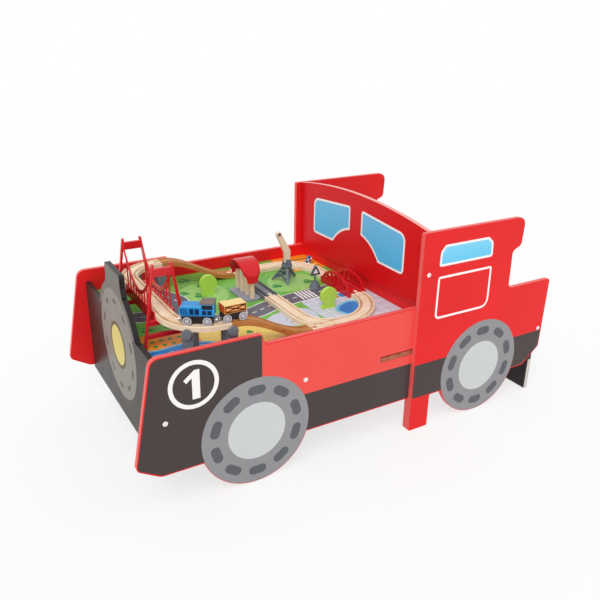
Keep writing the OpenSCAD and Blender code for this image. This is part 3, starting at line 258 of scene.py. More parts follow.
# Paler blue for rounded edges: painted highlight
blue_paint_edge_highlight = painted("blue_paint_edge_highlight", (86, 180, 230), 0.35)
orange_paint = painted("orange_paint", (228, 96, 44), 0.38)
cream_paint = painted("cream_paint", (248, 218, 150), 0.42)
roof_paint = painted("roof_paint", (120, 104, 92), 0.42)
black_plastic = plastic("black_plastic", (34, 33, 35), 0.45)
wheel_plastic = plastic("wheel_plastic", (196, 196, 200), 0.3)
wheel_dark = plastic("wheel_dark", (112, 104, 108), 0.5)
cap_plastic = plastic("cap_plastic", (244, 230, 226), 0.45)
zinc = metal("zinc", (206, 206, 208), 0.28)

ink_coral = ink("ink_coral", (240, 82, 73), 0.4, 0.025, 5)
ink_black = ink("ink_black", (70, 62, 60), 0.42, 0.05, 5)
ink_white = ink("ink_white", (252, 248, 247), 0.42, 0.02)
ink_wheel = ink("ink_wheel", (148, 148, 151), 0.46)
ink_dash = ink("ink_dash", (94, 97, 100), 0.42)
ink_disc = ink("ink_disc", (206, 211, 212), 0.44, 0.015)
ink_side_window = faded_ink("ink_side_window", (104, 204, 244), (132, 216, 248), 437, 490)
ink_windshield = faded_ink("ink_windshield", (82, 190, 240), (116, 194, 240), 395, 515)
ink_stack = ink("ink_stack", (106, 98, 90), 0.34, specular=0.1)
ink_front_disc = ink("ink_front_disc", (136, 129, 121), 0.34, specular=0.1)
ink_front_dash = ink("ink_front_dash", (78, 73, 68), 0.34, specular=0.1)
ink_lamp = ink("ink_lamp", (222, 204, 116), 0.34, specular=0.1)
ink_lamp_rim = ink("ink_lamp_rim", (96, 80, 44), 0.36, specular=0.1)
ink_raw_edge = ink("ink_raw_edge", (214, 206, 198), 0.6)
ink_rail = ink("ink_rail", (40, 40, 44), 0.5)
ink_navy = ink("ink_navy", (12, 58, 112), 0.34)
ink_pane = ink("ink_pane", (18, 22, 30), 0.2)
crate_amber = painted("crate_amber", (240, 160, 72), 0.42)
ink_crate = ink("ink_crate", (40, 20, 10), 0.42, specular=0.1)
crate_field = painted("crate_field", (252, 182, 118), 0.42)

ink_grass = ink("ink_grass", (116, 184, 76), 0.4, 0.12, 70)
ink_meadow = ink("ink_meadow", (156, 208, 112), 0.4, 0.08, 70)
ink_leaf = ink("ink_leaf", (46, 140, 72), 0.4, 0.16, 110)
ink_sprout = ink("ink_sprout", (120, 196, 84), 0.4, 0.1, 110)
ink_road = ink("ink_road", (104, 100, 110), 0.44, 0.08, 90)
ink_paving = ink("ink_paving", (206, 208, 222), 0.42, 0.05, 60)
ink_water = ink("ink_water", (44, 128, 204), 0.3, 0.14, 45)
ink_shallow = ink("ink_shallow", (120, 196, 226), 0.32, 0.08, 45)
ink_sand = ink("ink_sand", (252, 216, 112), 0.42, 0.08, 80)
ink_soil = ink("ink_soil", (252, 150, 42), 0.42, 0.1, 80)
ink_brick = ink("ink_brick", (206, 74, 52), 0.42, 0.1, 80)


# Rounded copies of the solids


def add_object(name, data):
    """A new object in the scene."""
    thing = bpy.data.objects.new(name, data)
    bpy.context.scene.collection.objects.link(thing)
    return thing


# Seams within this distance are welded, and faces that bend less than this angle are joined
WELD_M = 1e-6
FLAT_ANGLE = math.radians(0.5)
BEVEL_ANGLE = math.radians(38)


def clean_copy(node):
    """A CAD node's mesh with its seams welded and its flat faces whole."""
    source = frame["nodes"][node].data
    bm = bmesh.new()
    verts = [bm.verts.new(v.co) for v in source.vertices]
    for face in source.polygons:
        bm.faces.new([verts[i] for i in face.vertices])
    bmesh.ops.remove_doubles(bm, verts=bm.verts, dist=WELD_M)
    bmesh.ops.dissolve_limit(bm, angle_limit=FLAT_ANGLE, verts=bm.verts, edges=bm.edges)
    bmesh.ops.recalc_face_normals(bm, faces=bm.faces)
    mesh = bpy.data.meshes.new(node)
    bm.to_mesh(mesh)
    bm.free()
    return mesh


def finish_index(mesh, finish):
    """The index of a finish among a mesh's materials, added where it is new."""
    if finish.name not in mesh.materials:
        mesh.materials.append(finish)
    return mesh.materials.find(finish.name)


def rounded_piece(node, finish, edge_finish, radius, face_finish=None):
    """A copy of a CAD node with its sharp edges rounded over, which stands for the node.

    face_finish names another finish for some of the faces."""
    piece = add_object(node + "_rounded", clean_copy(node))
    piece.data.materials.append(finish)
    piece.data.materials.append(edge_finish)
    for face in piece.data.polygons:
        face.use_smooth = True
        own_finish = face_finish and face_finish(node, face)
        if own_finish:
            face.material_index = finish_index(piece.data, own_finish)
    bevel = piece.modifiers.new("edges", "BEVEL")
    bevel.width = radius * MM
    bevel.segments = 2
    bevel.limit_method = "ANGLE"
    bevel.angle_limit = BEVEL_ANGLE
    # The rounded edges take the second finish, which in most looks is paler and paints highlight on them
    bevel.material = 1
    normals = piece.modifiers.new("normals", "WEIGHTED_NORMAL")
    normals.keep_sharp = True
    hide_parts(node)
    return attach(piece, BODY_OF[node])


# A track's grooves: depth and reach from its middle line
GROOVE_DEPTH = 2
GROOVE_SIDES = (9.5, 16.5)
SLOPES = ("near_ramp", "far_ramp")

# Shares of a normal along an axis, from which a face is square to it, faces it or leans to it
SQUARE_TO, FACING, LEANING = 0.98, 0.9, 0.5
NEAR_MM = 0.5


def in_grooves(finish):
    """A choice of finish for the floors of a track's two grooves; on the wooden tracks, ramps and girder deck it
    is darker and paints shade in the grooves.
    """
    def choose(node, face):
        low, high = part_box(node)
        if node in SLOPES:
            aside = abs(face.center.y - (low.y + high.y) / 2) / MM
            inside = face.normal.z > LEANING and GROOVE_SIDES[0] < aside < GROOVE_SIDES[1]
        else:
            below = (high.z - face.center.z) / MM
            inside = face.normal.z > FACING and abs(below - GROOVE_DEPTH) < NEAR_MM
        return finish if inside else None
    return choose


def vehicle(name):
    """Middle, forward direction and left direction of a vehicle, from its two axle joints."""
    front = Vector(JOINTS[name + "_front_spin"]["pos_m"])
    rear = Vector(JOINTS[name + "_rear_spin"]["pos_m"])
    forward = (front - rear).normalized()
    return (front + rear) / 2, forward, Z.cross(forward)


# Half the width of the engine's body and of the wagon's crate
TRAIN_HALF_W = 15.5


def crate_faces(node, face):
    """Cream lid, orange ends and pale sunk fields on the wagon's amber crate."""
    middle, forward, left = vehicle("wagon")
    if face.normal.z > FACING:
        return None if face.center.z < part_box(node)[1].z - NEAR_MM * MM else cream_paint
    if abs(face.normal.dot(forward)) > SQUARE_TO:
        return orange_paint
    depth = TRAIN_HALF_W - abs((face.center - middle).dot(left)) / MM
    return crate_field if abs(face.normal.dot(left)) > FACING and depth > NEAR_MM else None


def board_edges(axis, finish):
    """A choice of finish for the edges of a flat board that faces along an axis; on the red side panels and the
    windshield it is a paler finish that paints highlight on the edge faces.
    """
    def choose(_node, face):
        return finish if abs(face.normal.dot(axis)) < LEANING else None
    return choose


# Each look: finish, finish of the rounded edges, their radius and a choice of finish for single faces; a paler
# edge finish paints highlight on the rounded edges, and a darker groove finish paints shade in the grooves
BOARD = (paint_red, paint_red_edge_highlight, 1.2)
SIDE_BOARD = (paint_red, paint_red_edge_highlight, 1.2, board_edges(Y, paint_red_edge_highlight))
DARK_BOARD = (paint_black, paint_black_edge_highlight, 1.0)
TRACK_X = (beech_x, beech_edge_highlight, 0.5, in_grooves(beech_groove_shade))
TRACK_Y = (beech_y, beech_edge_highlight, 0.5, in_grooves(beech_groove_shade))
RAMP = (ramp_wood, ramp_edge_highlight, 0.5, in_grooves(ramp_groove_shade))
BATTEN_X = (beech_x, beech_edge_highlight, 0.8)
RED_MOULDING = (red_plastic, red_plastic_edge_highlight, 0.5)
GREY_MOULDING = (grey_plastic, grey_plastic_edge, 0.4)
WHEELSET = (wheel_plastic, wheel_plastic, 0.25)
CHASSIS = (black_plastic, black_plastic, 0.5)
FINISHES = {
    "hood_panel_near": SIDE_BOARD, "hood_panel_far": SIDE_BOARD,
    "cab_panel_near": SIDE_BOARD, "cab_panel_far": SIDE_BOARD,
    "windshield_panel": (paint_deep_red, paint_pale_edge_highlight, 1.2, board_edges(X, paint_pale_edge_highlight)),
    "dash_wall": BOARD, "seat_board": BOARD,
    "front_panel": (paint_front, paint_black_edge_highlight, 1.0, board_edges(X, paint_black)),
    "rear_board": DARK_BOARD,
    "shelf_board": (shelf_stain, shelf_stain, 0.8), "cross_beam": (beech_y, beech_edge_highlight, 0.8),
    "board_battens": BATTEN_X, "seat_cleats": BATTEN_X, "play_board": (ink_grass, ink_grass, 0.4),
    "bolt_caps": (cap_plastic, cap_plastic, 0.3),
    "near_raised_curve": TRACK_X, "near_switch": TRACK_X, "right_near_curve": TRACK_X,
    "right_far_straight": TRACK_Y, "right_far_curve": TRACK_X,
    "far_switch": TRACK_X, "far_raised_curve": TRACK_X, "link_track": TRACK_Y, "bridge_deck": TRACK_Y,
    "near_ramp": RAMP, "far_ramp": RAMP,
    "level_crossing": (crossing_grey, grey_plastic_edge, 0.4, in_grooves(black_plastic)),
    "girder_deck": (red_plastic, red_plastic_edge_highlight, 0.5, in_grooves(red_plastic_groove_shade)),
    "girder_sides": RED_MOULDING,
    "bridge_towers": (red_plastic, red_plastic_edge_highlight, 0.9), "bridge_sides": RED_MOULDING,
    "station_roof": (red_plastic, red_plastic_edge_highlight, 0.8), "station_posts": (beech_z, beech_edge_highlight, 0.6),
    "station_base": (station_grey, grey_plastic_edge, 0.6),
    "track_piers": (slate_plastic, slate_plastic_edge_highlight, 0.8),
    "triangle_sign": GREY_MOULDING, "crane_stand": GREY_MOULDING, "crane_head": GREY_MOULDING,
    "trees": (green_paint, green_paint_edge_highlight, 1.0), "flag_sign": (blue_paint, blue_paint_edge_highlight, 0.3),
    "crane_boom": (beech_z, beech_edge_highlight, 1.0),
    "crane_pivot_pin": (zinc, zinc, 0.4), "boom_tip_pin": (zinc, black_plastic, 1.6),
    "engine_chassis": CHASSIS, "wagon_chassis": CHASSIS,
    "engine_body": (blue_paint, blue_paint_edge_highlight, 1.2), "engine_roof": (roof_paint, roof_paint, 0.5),
    "wagon_crate": (crate_amber, crate_amber, 0.25, crate_faces),
    "engine_couplers": (zinc, zinc, 0.5), "wagon_couplers": (zinc, zinc, 0.5),
    "engine_front_wheels": WHEELSET, "engine_rear_wheels": WHEELSET,
    "wagon_front_wheels": WHEELSET, "wagon_rear_wheels": WHEELSET,
}
HIDDEN_STEEL = ["cross_bolts", "barrel_nuts", "lap_screws", "batten_screws"]

for node_name, node_look in FINISHES.items():
    rounded_piece(node_name, *node_look)
for node_name in HIDDEN_STEEL:
    node_materials = frame["nodes"][node_name].data.materials
    node_materials.clear()
    node_materials.append(zinc)


# Flat outlines, in millimetres


def round_point(centre, radius, angle):
    """A point at an angle in degrees round a centre."""
    turn = math.radians(angle)
    return Vector((centre[0] + radius * math.cos(turn), centre[1] + radius * math.sin(turn)))


def arc(centre, radius, start, end, steps):
    """Points along an arc between two angles in degrees."""
    return [round_point(centre, radius, start + (end - start) * i / steps) for i in range(steps + 1)]


def circle(centre, radius, steps):
    return arc(centre, radius, 0, 360 - 360 / steps, steps - 1)


def evenly(start, step, count):
    """Evenly spaced places along a line."""
    return [start + step * i for i in range(count)]


def outline(*corners, steps=6):
    """A closed outline from (u, v, radius) corners."""
    loop = []
    for i, (u, v, radius) in enumerate(corners):
        p = Vector((u, v))
        if not radius:
            loop.append(p)
            continue
        a = (Vector(corners[i - 1][:2]) - p).normalized()
        b = (Vector(corners[(i + 1) % len(corners)][:2]) - p).normalized()
        half = a.angle(b) / 2
        centre = p + (a + b).normalized() * (radius / math.sin(half))
        first = p + a * (radius / math.tan(half)) - centre
        last = p + b * (radius / math.tan(half)) - centre
        start = math.degrees(math.atan2(first.y, first.x))
        sweep = (math.degrees(math.atan2(last.y, last.x)) - start + 540) % 360 - 180
        loop += arc(centre, radius, start, start + sweep, steps)
    return loop


def box_outline(left, low, right, high, radius=0):
    return outline((left, low, radius), (right, low, radius), (right, high, radius), (left, high, radius))


def area(loop):
    """The area inside a closed outline, negative where it runs clockwise."""
    return sum(a.x * b.y - b.x * a.y for a, b in zip(loop, loop[1:] + loop[:1])) / 2


# How far a sharp corner of a moved outline may reach, for each step of its sides
MITRE_LIMIT = 3


def grown(loop, distance):
    """A closed outline moved outwards, or inwards by a negative distance."""
    turn = 1 if area(loop) > 0 else -1
    moved = []
    for i, p in enumerate(loop):
        a = (p - loop[i - 1]).normalized()
        b = (loop[(i + 1) % len(loop)] - p).normalized()
        normal = Vector((a.y + b.y, -a.x - b.x)).normalized()
        reach = 1 / max(1 / MITRE_LIMIT, normal.dot(Vector((a.y, -a.x))))
        moved.append(p + normal * (turn * distance * reach))
    return moved


def border(loop, width):
    """A line of a given width just inside a closed outline."""
    return [loop, grown(loop, -width)]


def dash(centre, radius, angle, length, width):
    """A dash bent round a centre, with rounded ends."""
    half = math.degrees((length - width) / 2 / radius)
    outer = arc(centre, radius + width / 2, angle - half, angle + half, 8)
    inner = arc(centre, radius - width / 2, angle + half, angle - half, 8)
    ends = [round_point(centre, radius, angle + s * half) for s in (1, -1)]
    first = arc(ends[0], width / 2, angle + half, angle + half + 180, 8)[1:-1]
    last = arc(ends[1], width / 2, angle - half + 180, angle - half + 360, 8)[1:-1]
    return outer + first + inner + last


def smooth_span(a, b, c, d, steps):
    """Points of a smooth curve from b towards c, bent by the points before and after."""
    span = []
    for i in range(steps):
        t = i / steps
        span.append(0.5 * (2 * b + (c - a) * t + (2 * a - 5 * b + 4 * c - d) * t * t
                           + (3 * b - a - 3 * c + d) * t ** 3))
    return span


def spline(points, steps=10):
    """A smooth open path through points."""
    pts = [Vector(p) for p in points]
    pts = [2 * pts[0] - pts[1]] + pts + [2 * pts[-1] - pts[-2]]
    path = []
    for near_points in zip(pts, pts[1:], pts[2:], pts[3:]):
        path += smooth_span(*near_points, steps)
    return path + [pts[-2]]


def blob(points, steps=8):
    """A smooth closed outline through points."""
    pts = [Vector(p) for p in points]
    path = []
    for i in range(len(pts)):
        near_points = [pts[(i + k) % len(pts)] for k in (-1, 0, 1, 2)]
        path += smooth_span(*near_points, steps)
    return path


def side_points(path, shift):
    """A path moved sideways."""
    moved = []
    for i, p in enumerate(path):
        run = (path[min(i + 1, len(path) - 1)] - path[max(i - 1, 0)]).normalized()
        moved.append(p + Vector((-run.y, run.x)) * shift)
    return moved


def ribbon(path, width):
    """A band along an open path."""
    return side_points(path, width / 2) + side_points(path, -width / 2)[::-1]


def dashes(path, length, width):
    """Short bands along an open path, with gaps of their own length."""
    bands, run, piece, on = [], 0, [path[0]], True
    for a, b in zip(path, path[1:]):
        start = a
        left = (b - a).length
        while left > 0:
            step = min(length - run, left)
            start = start + (b - a).normalized() * step
            left -= step
            run += step
            piece.append(start)
            if run >= length - 1e-6:
                if on and len(piece) > 1:
                    bands.append(ribbon(piece, width))
                piece, run, on = [start], 0, not on
    return bands


# Printed films


# Height of a film's layer over the face, and how far a film is sunk into it
LAYER = 0.12
SUNK = 0.2


class Prints:
    """Thin printed films on one flat face, gathered in one piece.

    Outlines are drawn in millimetres along the face's own u and v, and each higher layer lies on the last."""

    def __init__(self, name, origin, u, v, out, slot, body="table"):
        self.name, self.body, self.slot = name, body, slot
        self.origin, self.u, self.v, self.out = origin, u, v, out
        self.bm = bmesh.new()
        self.finishes = []

    def point(self, p, height):
        return self.origin + (self.u * p[0] + self.v * p[1] + self.out * height) * MM

    def film(self, finish, loops, layer=1):
        """One closed film from an outer outline and the outlines of its holes."""
        loops = loops if isinstance(loops[0], list) else [loops]
        if finish not in self.finishes:
            self.finishes.append(finish)
        made = []
        flat = [p for loop in loops for p in loop]
        tops = [self.bm.verts.new(self.point(p, layer * LAYER)) for p in flat]
        lows = [self.bm.verts.new(self.point(p, -SUNK)) for p in flat]
        for tri in tessellate_polygon([[p.to_3d() for p in loop] for loop in loops]):
            made.append(self.bm.faces.new([tops[i] for i in tri]))
            made.append(self.bm.faces.new([lows[i] for i in reversed(tri)]))
        start = 0
        for loop in loops:
            n = len(loop)
            for i in range(n):
                a, b = start + i, start + (i + 1) % n
                made.append(self.bm.faces.new([tops[a], tops[b], lows[b], lows[a]]))
            start += n
        bmesh.ops.recalc_face_normals(self.bm, faces=made)
        for face in made:
            face.material_index = self.finishes.index(finish)

    def done(self):
        """Make the piece that rides on the body."""
        mesh = bpy.data.meshes.new(self.name)
        self.bm.to_mesh(mesh)
        self.bm.free()
        for finish in self.finishes:
            mesh.materials.append(finish)
        piece = add_object(self.name, mesh)
        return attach(piece, self.body)


# Sides of the table and of the train, with their part of a piece's name
TABLE_SIDES = ((-1, "near"), (1, "far"))
TRAIN_SIDES = ((1, "left"), (-1, "right"))

# Places on the table, along X from the front panel's face and up from the floor

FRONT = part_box("front_panel")[0].x
HOOD_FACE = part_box("hood_panel_far")[1].y
CAB_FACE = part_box("cab_panel_far")[1].y
HOOD_LEN = (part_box("cab_panel_near")[0].x - FRONT) / MM
CAB_BACK = (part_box("cab_panel_near")[1].x - FRONT) / MM
NOSE_TOP_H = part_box("hood_panel_near")[1].z / MM
NOSE_RISE = 25
HOOD_H = NOSE_TOP_H - NOSE_RISE
STEP_RUN, STEP_CORNER = 9, 9
SLOT_GAP = 3
SLOT_RIM = 0.8
BOARD_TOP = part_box("play_board")[1].z
WHEEL_R = 132.5
WHEEL_RIM = 1.4
FRONT_WHEEL = (211, WHEEL_R)
REAR_WHEEL = (HOOD_LEN + 225, WHEEL_R)
SKIRT_H = 91
EDGE = 2.6
NOSE_SPLIT = 224
HOOD_STRIPE_H = 190
CAB_STRIPE_H = 187
PRINT_LINE = 5.8
NUT_INSET = 43
NUT_PLUG_R = 6.4
FRONT_NUT_H = 214
WINDSHIELD_NUT_H = 422

# Wheel prints: hub disc, and dashes round it by first angle, radius, length and width
HUB_R = 70
DASHES = 10
WHEEL_DASH = (90, 102, 43, 22)

# Nose print: ring numeral, and the black field's (x, height, radius) corners at the front
RING_AT = (70, 286)
RING_R, RING_INNER_R = 54.5, 45
FIGURE_ONE = ((-22, 14), (2, 33), (13, 33), (13, -33), (-4, -33), (-4, 16), (-16, 6))
NOSE_TOP = (-17 + EDGE, NOSE_TOP_H - EDGE, 20)
NOSE_FOOT = (-10 + EDGE, SKIRT_H + EDGE, 27)
NOSE_TIP = (-61 + EDGE, 122 + EDGE / 2, 12)

# Cab print: (x, height, radius) corners
CAB_TAIL_LOW = (CAB_BACK - 60 - EDGE, SKIRT_H + EDGE, 12)
CAB_TAIL = (CAB_BACK - 4 - EDGE, SKIRT_H + 46, 12)
CAB_TAIL_HIGH = (CAB_BACK - 2.5 - EDGE, CAB_STRIPE_H, 0)
SIDE_WINDOW = ((688, 437, 7), (861, 437, 7), (858, 475, 10), (842, 490, 10), (702, 490, 12), (689, 474, 12))
DOOR_LINE = ((688, 412, 7), (688, 301, 14), (865, 301, 24), (863, 412, 7))


def dash_ring(prints, finish, centre, turn, radius, length, width):
    """Dashes all round a centre, from a first angle."""
    for i in range(DASHES):
        prints.film(finish, dash(centre, radius, turn + 360 / DASHES * i, length, width), layer=3)


def wheel_print(prints, centre):
    """A grey wheel with ten dark dashes round a pale hub disc."""
    prints.film(ink_wheel, circle(centre, WHEEL_R - WHEEL_RIM, 120), layer=2)
    dash_ring(prints, ink_dash, centre, *WHEEL_DASH)
    prints.film(ink_disc, circle(centre, HUB_R, 96), layer=3)


def numeral_print(prints, centre, reading):
    """A ring with a plain figure one, drawn to read along the given direction of u."""
    prints.film(ink_white, [circle(centre, RING_R, 96), circle(centre, RING_INNER_R, 96)], layer=2)
    figure = [Vector((centre[0] + reading * u, centre[1] + v)) for u, v in FIGURE_ONE]
    prints.film(ink_white, figure, layer=2)


def hood_prints(side, place):
    """Black nose and stripe, coral field, ring numeral and front wheel on one hood panel."""
    origin = Vector((FRONT, side * HOOD_FACE, 0))
    prints = Prints("hood_prints_" + place, origin, X, Z, side * Y, "red_board")
    slot_low, slot_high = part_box("shelf_board")
    slot_x = (slot_low.x - FRONT) / MM - SLOT_RIM
    slot_foot = slot_low.z / MM - SLOT_RIM
    slot_top = slot_high.z / MM + SLOT_GAP + SLOT_RIM
    prints.film(ink_coral, outline(
        (NOSE_SPLIT, HOOD_STRIPE_H, 0), (HOOD_LEN, HOOD_STRIPE_H, 0), (HOOD_LEN, slot_foot, 0),
        (slot_x, slot_foot, 0), (slot_x, slot_top, 0), (HOOD_LEN, slot_top, 0), (HOOD_LEN, HOOD_H - EDGE, 0),
        (NOSE_SPLIT + STEP_RUN, HOOD_H - EDGE, STEP_CORNER), (NOSE_SPLIT, NOSE_TOP_H - EDGE, 0)))
    prints.film(ink_black, outline(
        NOSE_TOP, (NOSE_SPLIT, NOSE_TOP_H - EDGE, 0), (NOSE_SPLIT, HOOD_STRIPE_H, 0),
        (HOOD_LEN, HOOD_STRIPE_H, 0), (HOOD_LEN, SKIRT_H + EDGE, 0), NOSE_FOOT, NOSE_TIP))
    numeral_print(prints, RING_AT, -side)
    wheel_print(prints, FRONT_WHEEL)
    prints.done()


def cab_prints(side, place):
    """Stripe, window, door line and rear wheel on one cab panel."""
    origin = Vector((FRONT, side * CAB_FACE, 0))
    prints = Prints("cab_prints_" + place, origin, X, Z, side * Y, "red_board")
    prints.film(ink_black, outline(
        (HOOD_LEN + EDGE, CAB_STRIPE_H, 0), (HOOD_LEN + EDGE, SKIRT_H + EDGE, 0),
        CAB_TAIL_LOW, CAB_TAIL, CAB_TAIL_HIGH))
    window = outline(*SIDE_WINDOW)
    prints.film(ink_white, border(window, PRINT_LINE))
    prints.film(ink_side_window, grown(window, -PRINT_LINE))
    prints.film(ink_white, border(outline(*DOOR_LINE), PRINT_LINE))
    wheel_print(prints, REAR_WHEEL)
    prints.done()


for print_panel in (hood_prints, cab_prints):
    for table_side in TABLE_SIDES:
        print_panel(*table_side)


# Front face, in millimetres across and up from the floor
FRONT_RIM = 1.2
BOILER = (0, 270)
BOILER_R = 149 - FRONT_RIM
BOILER_DISC_R = 132
FRONT_DASH = (18, 106, 25, 11)
SHOULDER_H = 331
STACK_FOOT_W = 63.5
STACK_W = 57 - FRONT_RIM
STACK_FLARE, STACK_CORNER = 30, 6
LAMP = (0, 268)
LAMP_RIM_R, LAMP_R = 57, 48


def front_prints():
    """The front face's grey stack, dashed boiler disc and headlight, and painted plugs over the nuts."""
    stack_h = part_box("front_panel")[1].z / MM - FRONT_RIM
    shoulder = math.degrees(math.asin((SHOULDER_H - BOILER[1]) / BOILER_R))
    stack_foot = math.degrees(math.acos(STACK_FOOT_W / BOILER_R))
    right = arc(BOILER, BOILER_R, shoulder, stack_foot, 20)
    right += [Vector((STACK_W, stack_h - STACK_FLARE)), Vector((STACK_W, stack_h - STACK_CORNER)),
              Vector((STACK_W - STACK_CORNER, stack_h))]
    left = [Vector((-p.x, p.y)) for p in reversed(right)]
    prints = Prints("front_prints", Vector((FRONT, 0, 0)), -Y, Z, -X, "dark_board")
    prints.film(ink_stack, right + left)
    prints.film(ink_front_disc, circle(BOILER, BOILER_DISC_R, 96), layer=2)
    dash_ring(prints, ink_front_dash, BOILER, *FRONT_DASH)
    prints.film(ink_lamp_rim, circle(LAMP, LAMP_RIM_R, 72), layer=3)
    prints.film(ink_lamp, circle(LAMP, LAMP_R, 72), layer=4)
    for side in (-1, 1):
        prints.film(paint_front, circle((side * (HOOD_FACE / MM - NUT_INSET), FRONT_NUT_H), NUT_PLUG_R, 24))
    prints.done()


# One windshield pane: outer corners, and the arc over the boiler that hollows its inner corner
PANE_CORNERS = ((27, 447, 0), (26, 514, 8), (210, 498, 24), (210, 394, 12), (106, 394, 0))
HOLLOW_AT, HOLLOW_R = (0, 321), 129
HOLLOW_START, HOLLOW_END = 35, 78.5


def windshield_prints():
    """Two blue panes with white outlines, mirrored about the middle, and painted plugs over the nuts."""
    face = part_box("windshield_panel")[0].x
    prints = Prints("windshield_prints", Vector((face, 0, 0)), -Y, Z, -X, "red_board")
    pane = outline(*PANE_CORNERS)[1:-1] + arc(HOLLOW_AT, HOLLOW_R, HOLLOW_START, HOLLOW_END, 10)
    for side in (1, -1):
        loop = [Vector((side * p.x, p.y)) for p in pane]
        prints.film(ink_white, border(loop, PRINT_LINE))
        prints.film(ink_windshield, grown(loop, -PRINT_LINE))
        plug = circle((side * (CAB_FACE / MM - NUT_INSET), WINDSHIELD_NUT_H), NUT_PLUG_R, 24)
        prints.film(paint_deep_red, plug)
    prints.done()


EDGE_RIM = 1.2


def rear_edges():
    """Bare board ends that show under the cab panels."""
    low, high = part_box("rear_board")
    width = (high.x - low.x) / MM
    for side, place in TABLE_SIDES:
        origin = Vector((low.x, side * high.y, 0))
        prints = Prints("rear_edge_" + place, origin, X, Z, side * Y, "dark_board")
        prints.film(ink_raw_edge, box_outline(EDGE_RIM, EDGE_RIM, width - EDGE_RIM, SKIRT_H))
        prints.done()


front_prints()
windshield_prints()
rear_edges()


# Landscape on the play board, in millimetres from the front panel's face and from the middle line

BOARD_LOW, BOARD_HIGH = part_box("play_board")
PRINT_MARGIN = 1
LEFT = (BOARD_LOW.x - FRONT) / MM + PRINT_MARGIN
RIGHT = (BOARD_HIGH.x - FRONT) / MM - PRINT_MARGIN
NEAR = BOARD_LOW.y / MM + PRINT_MARGIN
FAR = BOARD_HIGH.y / MM - PRINT_MARGIN

# Film layers over the fields, up to the marks on the roads, and a small lift where like films cross
PATTERN, DETAIL, POOL, KERB, ROAD, MARK = 2, 3, 4, 5, 6, 7
CROSS_LIFT = 0.3

# Fields: straight edges, rounded corners, the width of the shore and of the pool's rim
SAND_LEFT, PAVING_LEFT, PAVING_FAR = 150, 455, -40
TILLED_NEAR, TILLED_FAR = -150, -58
FAR_SOIL_LEFT, FAR_SOIL_NEAR = 540, 150
PAVING_CORNER, TILLED_CORNER, FAR_SOIL_CORNER = 26, 22, 16
SHORE_W, POOL_RIM = 7, 9

# Patterns: evenly spaced places and sizes
CROP_XS, CROP_YS, CROP_R = evenly(28, 21, 6), evenly(-122, 25, 3), 5.5
WAVE_XS, WAVE_YS, WAVE_SHIFT = evenly(LEFT + 14, 34, 4), evenly(-164, -32, 3), 10
WAVE_LEN, WAVE_RISE, WAVE_W = 18, 5, 2.4
JOINT_XS, JOINT_YS, JOINT_W = evenly(488, 32, 5), evenly(-236, 32, 6), 1.4
JOINT_INSET, JOINT_END = 4, 2
BAY_XS, BAY_NEAR, BAY_W, BAY_LEN, BAY_CORNER = evenly(530, 18, 6), -74, 13, 24, 2
FURROW_YS, FURROW_LEFT, FURROW_W, FURROW_END = evenly(166, 18, 5), 556, 7, 8

# Roads: widths over and between the kerbs, dashes of the middle line, and the zebra crossing's bars
MAIN_ROAD = spline([(LEFT, 60), (110, 30), (190, -40), (300, -60), (400, -30), (520, -15), (RIGHT, -10)])
FAR_ROAD = spline([(130, FAR), (150, 180), (180, 110), (170, 30), (190, -40)])
KERB_W, ROAD_W = 62, 57
LINE_DASH, LINE_W = 14, 2.6
JUNCTION_POINTS = 6
ZEBRA_XS, ZEBRA_NEAR, ZEBRA_W, ZEBRA_LEN = evenly(470, 10, 5), -42, 5, 50

# Bushes as (x, y, size), and flower beds as (x, y, count, ink)
BUSHES = (
    (250, 110, 16), (215, 140, 13), (300, 40, 12), (280, 175, 15), (455, 75, 13), (548, 66, 14),
    (60, -30, 13), (112, -34, 11), (205, -76, 13), (262, -150, 8), (405, -120, 12), (90, 150, 16),
    (60, 200, 14), (420, 150, 13), (250, 230, 16), (420, -215, 8), (240, -205, 8),
)
FLOWER_BEDS = (
    (275, 120, 11, ink_white), (510, 85, 12, ink_shallow), (400, 80, 8, ink_white), (290, -222, 9, ink_soil),
    (375, -222, 7, ink_water), (212, -128, 7, ink_leaf), (385, -130, 9, ink_water),
)

# Plants: a bush's clumps as shares of its size, and flowers spread by the golden angle
CLUMP_R, CLUMP_REACH, CLUMP_LIFT = 0.6, 0.55, 0.2
SPROUT_AT, SPROUT_R = (-0.2, 0.3), 0.3
GOLDEN_ANGLE = 137.5
FLOWER_R, FLOWER_SPREAD = 2.2, 8


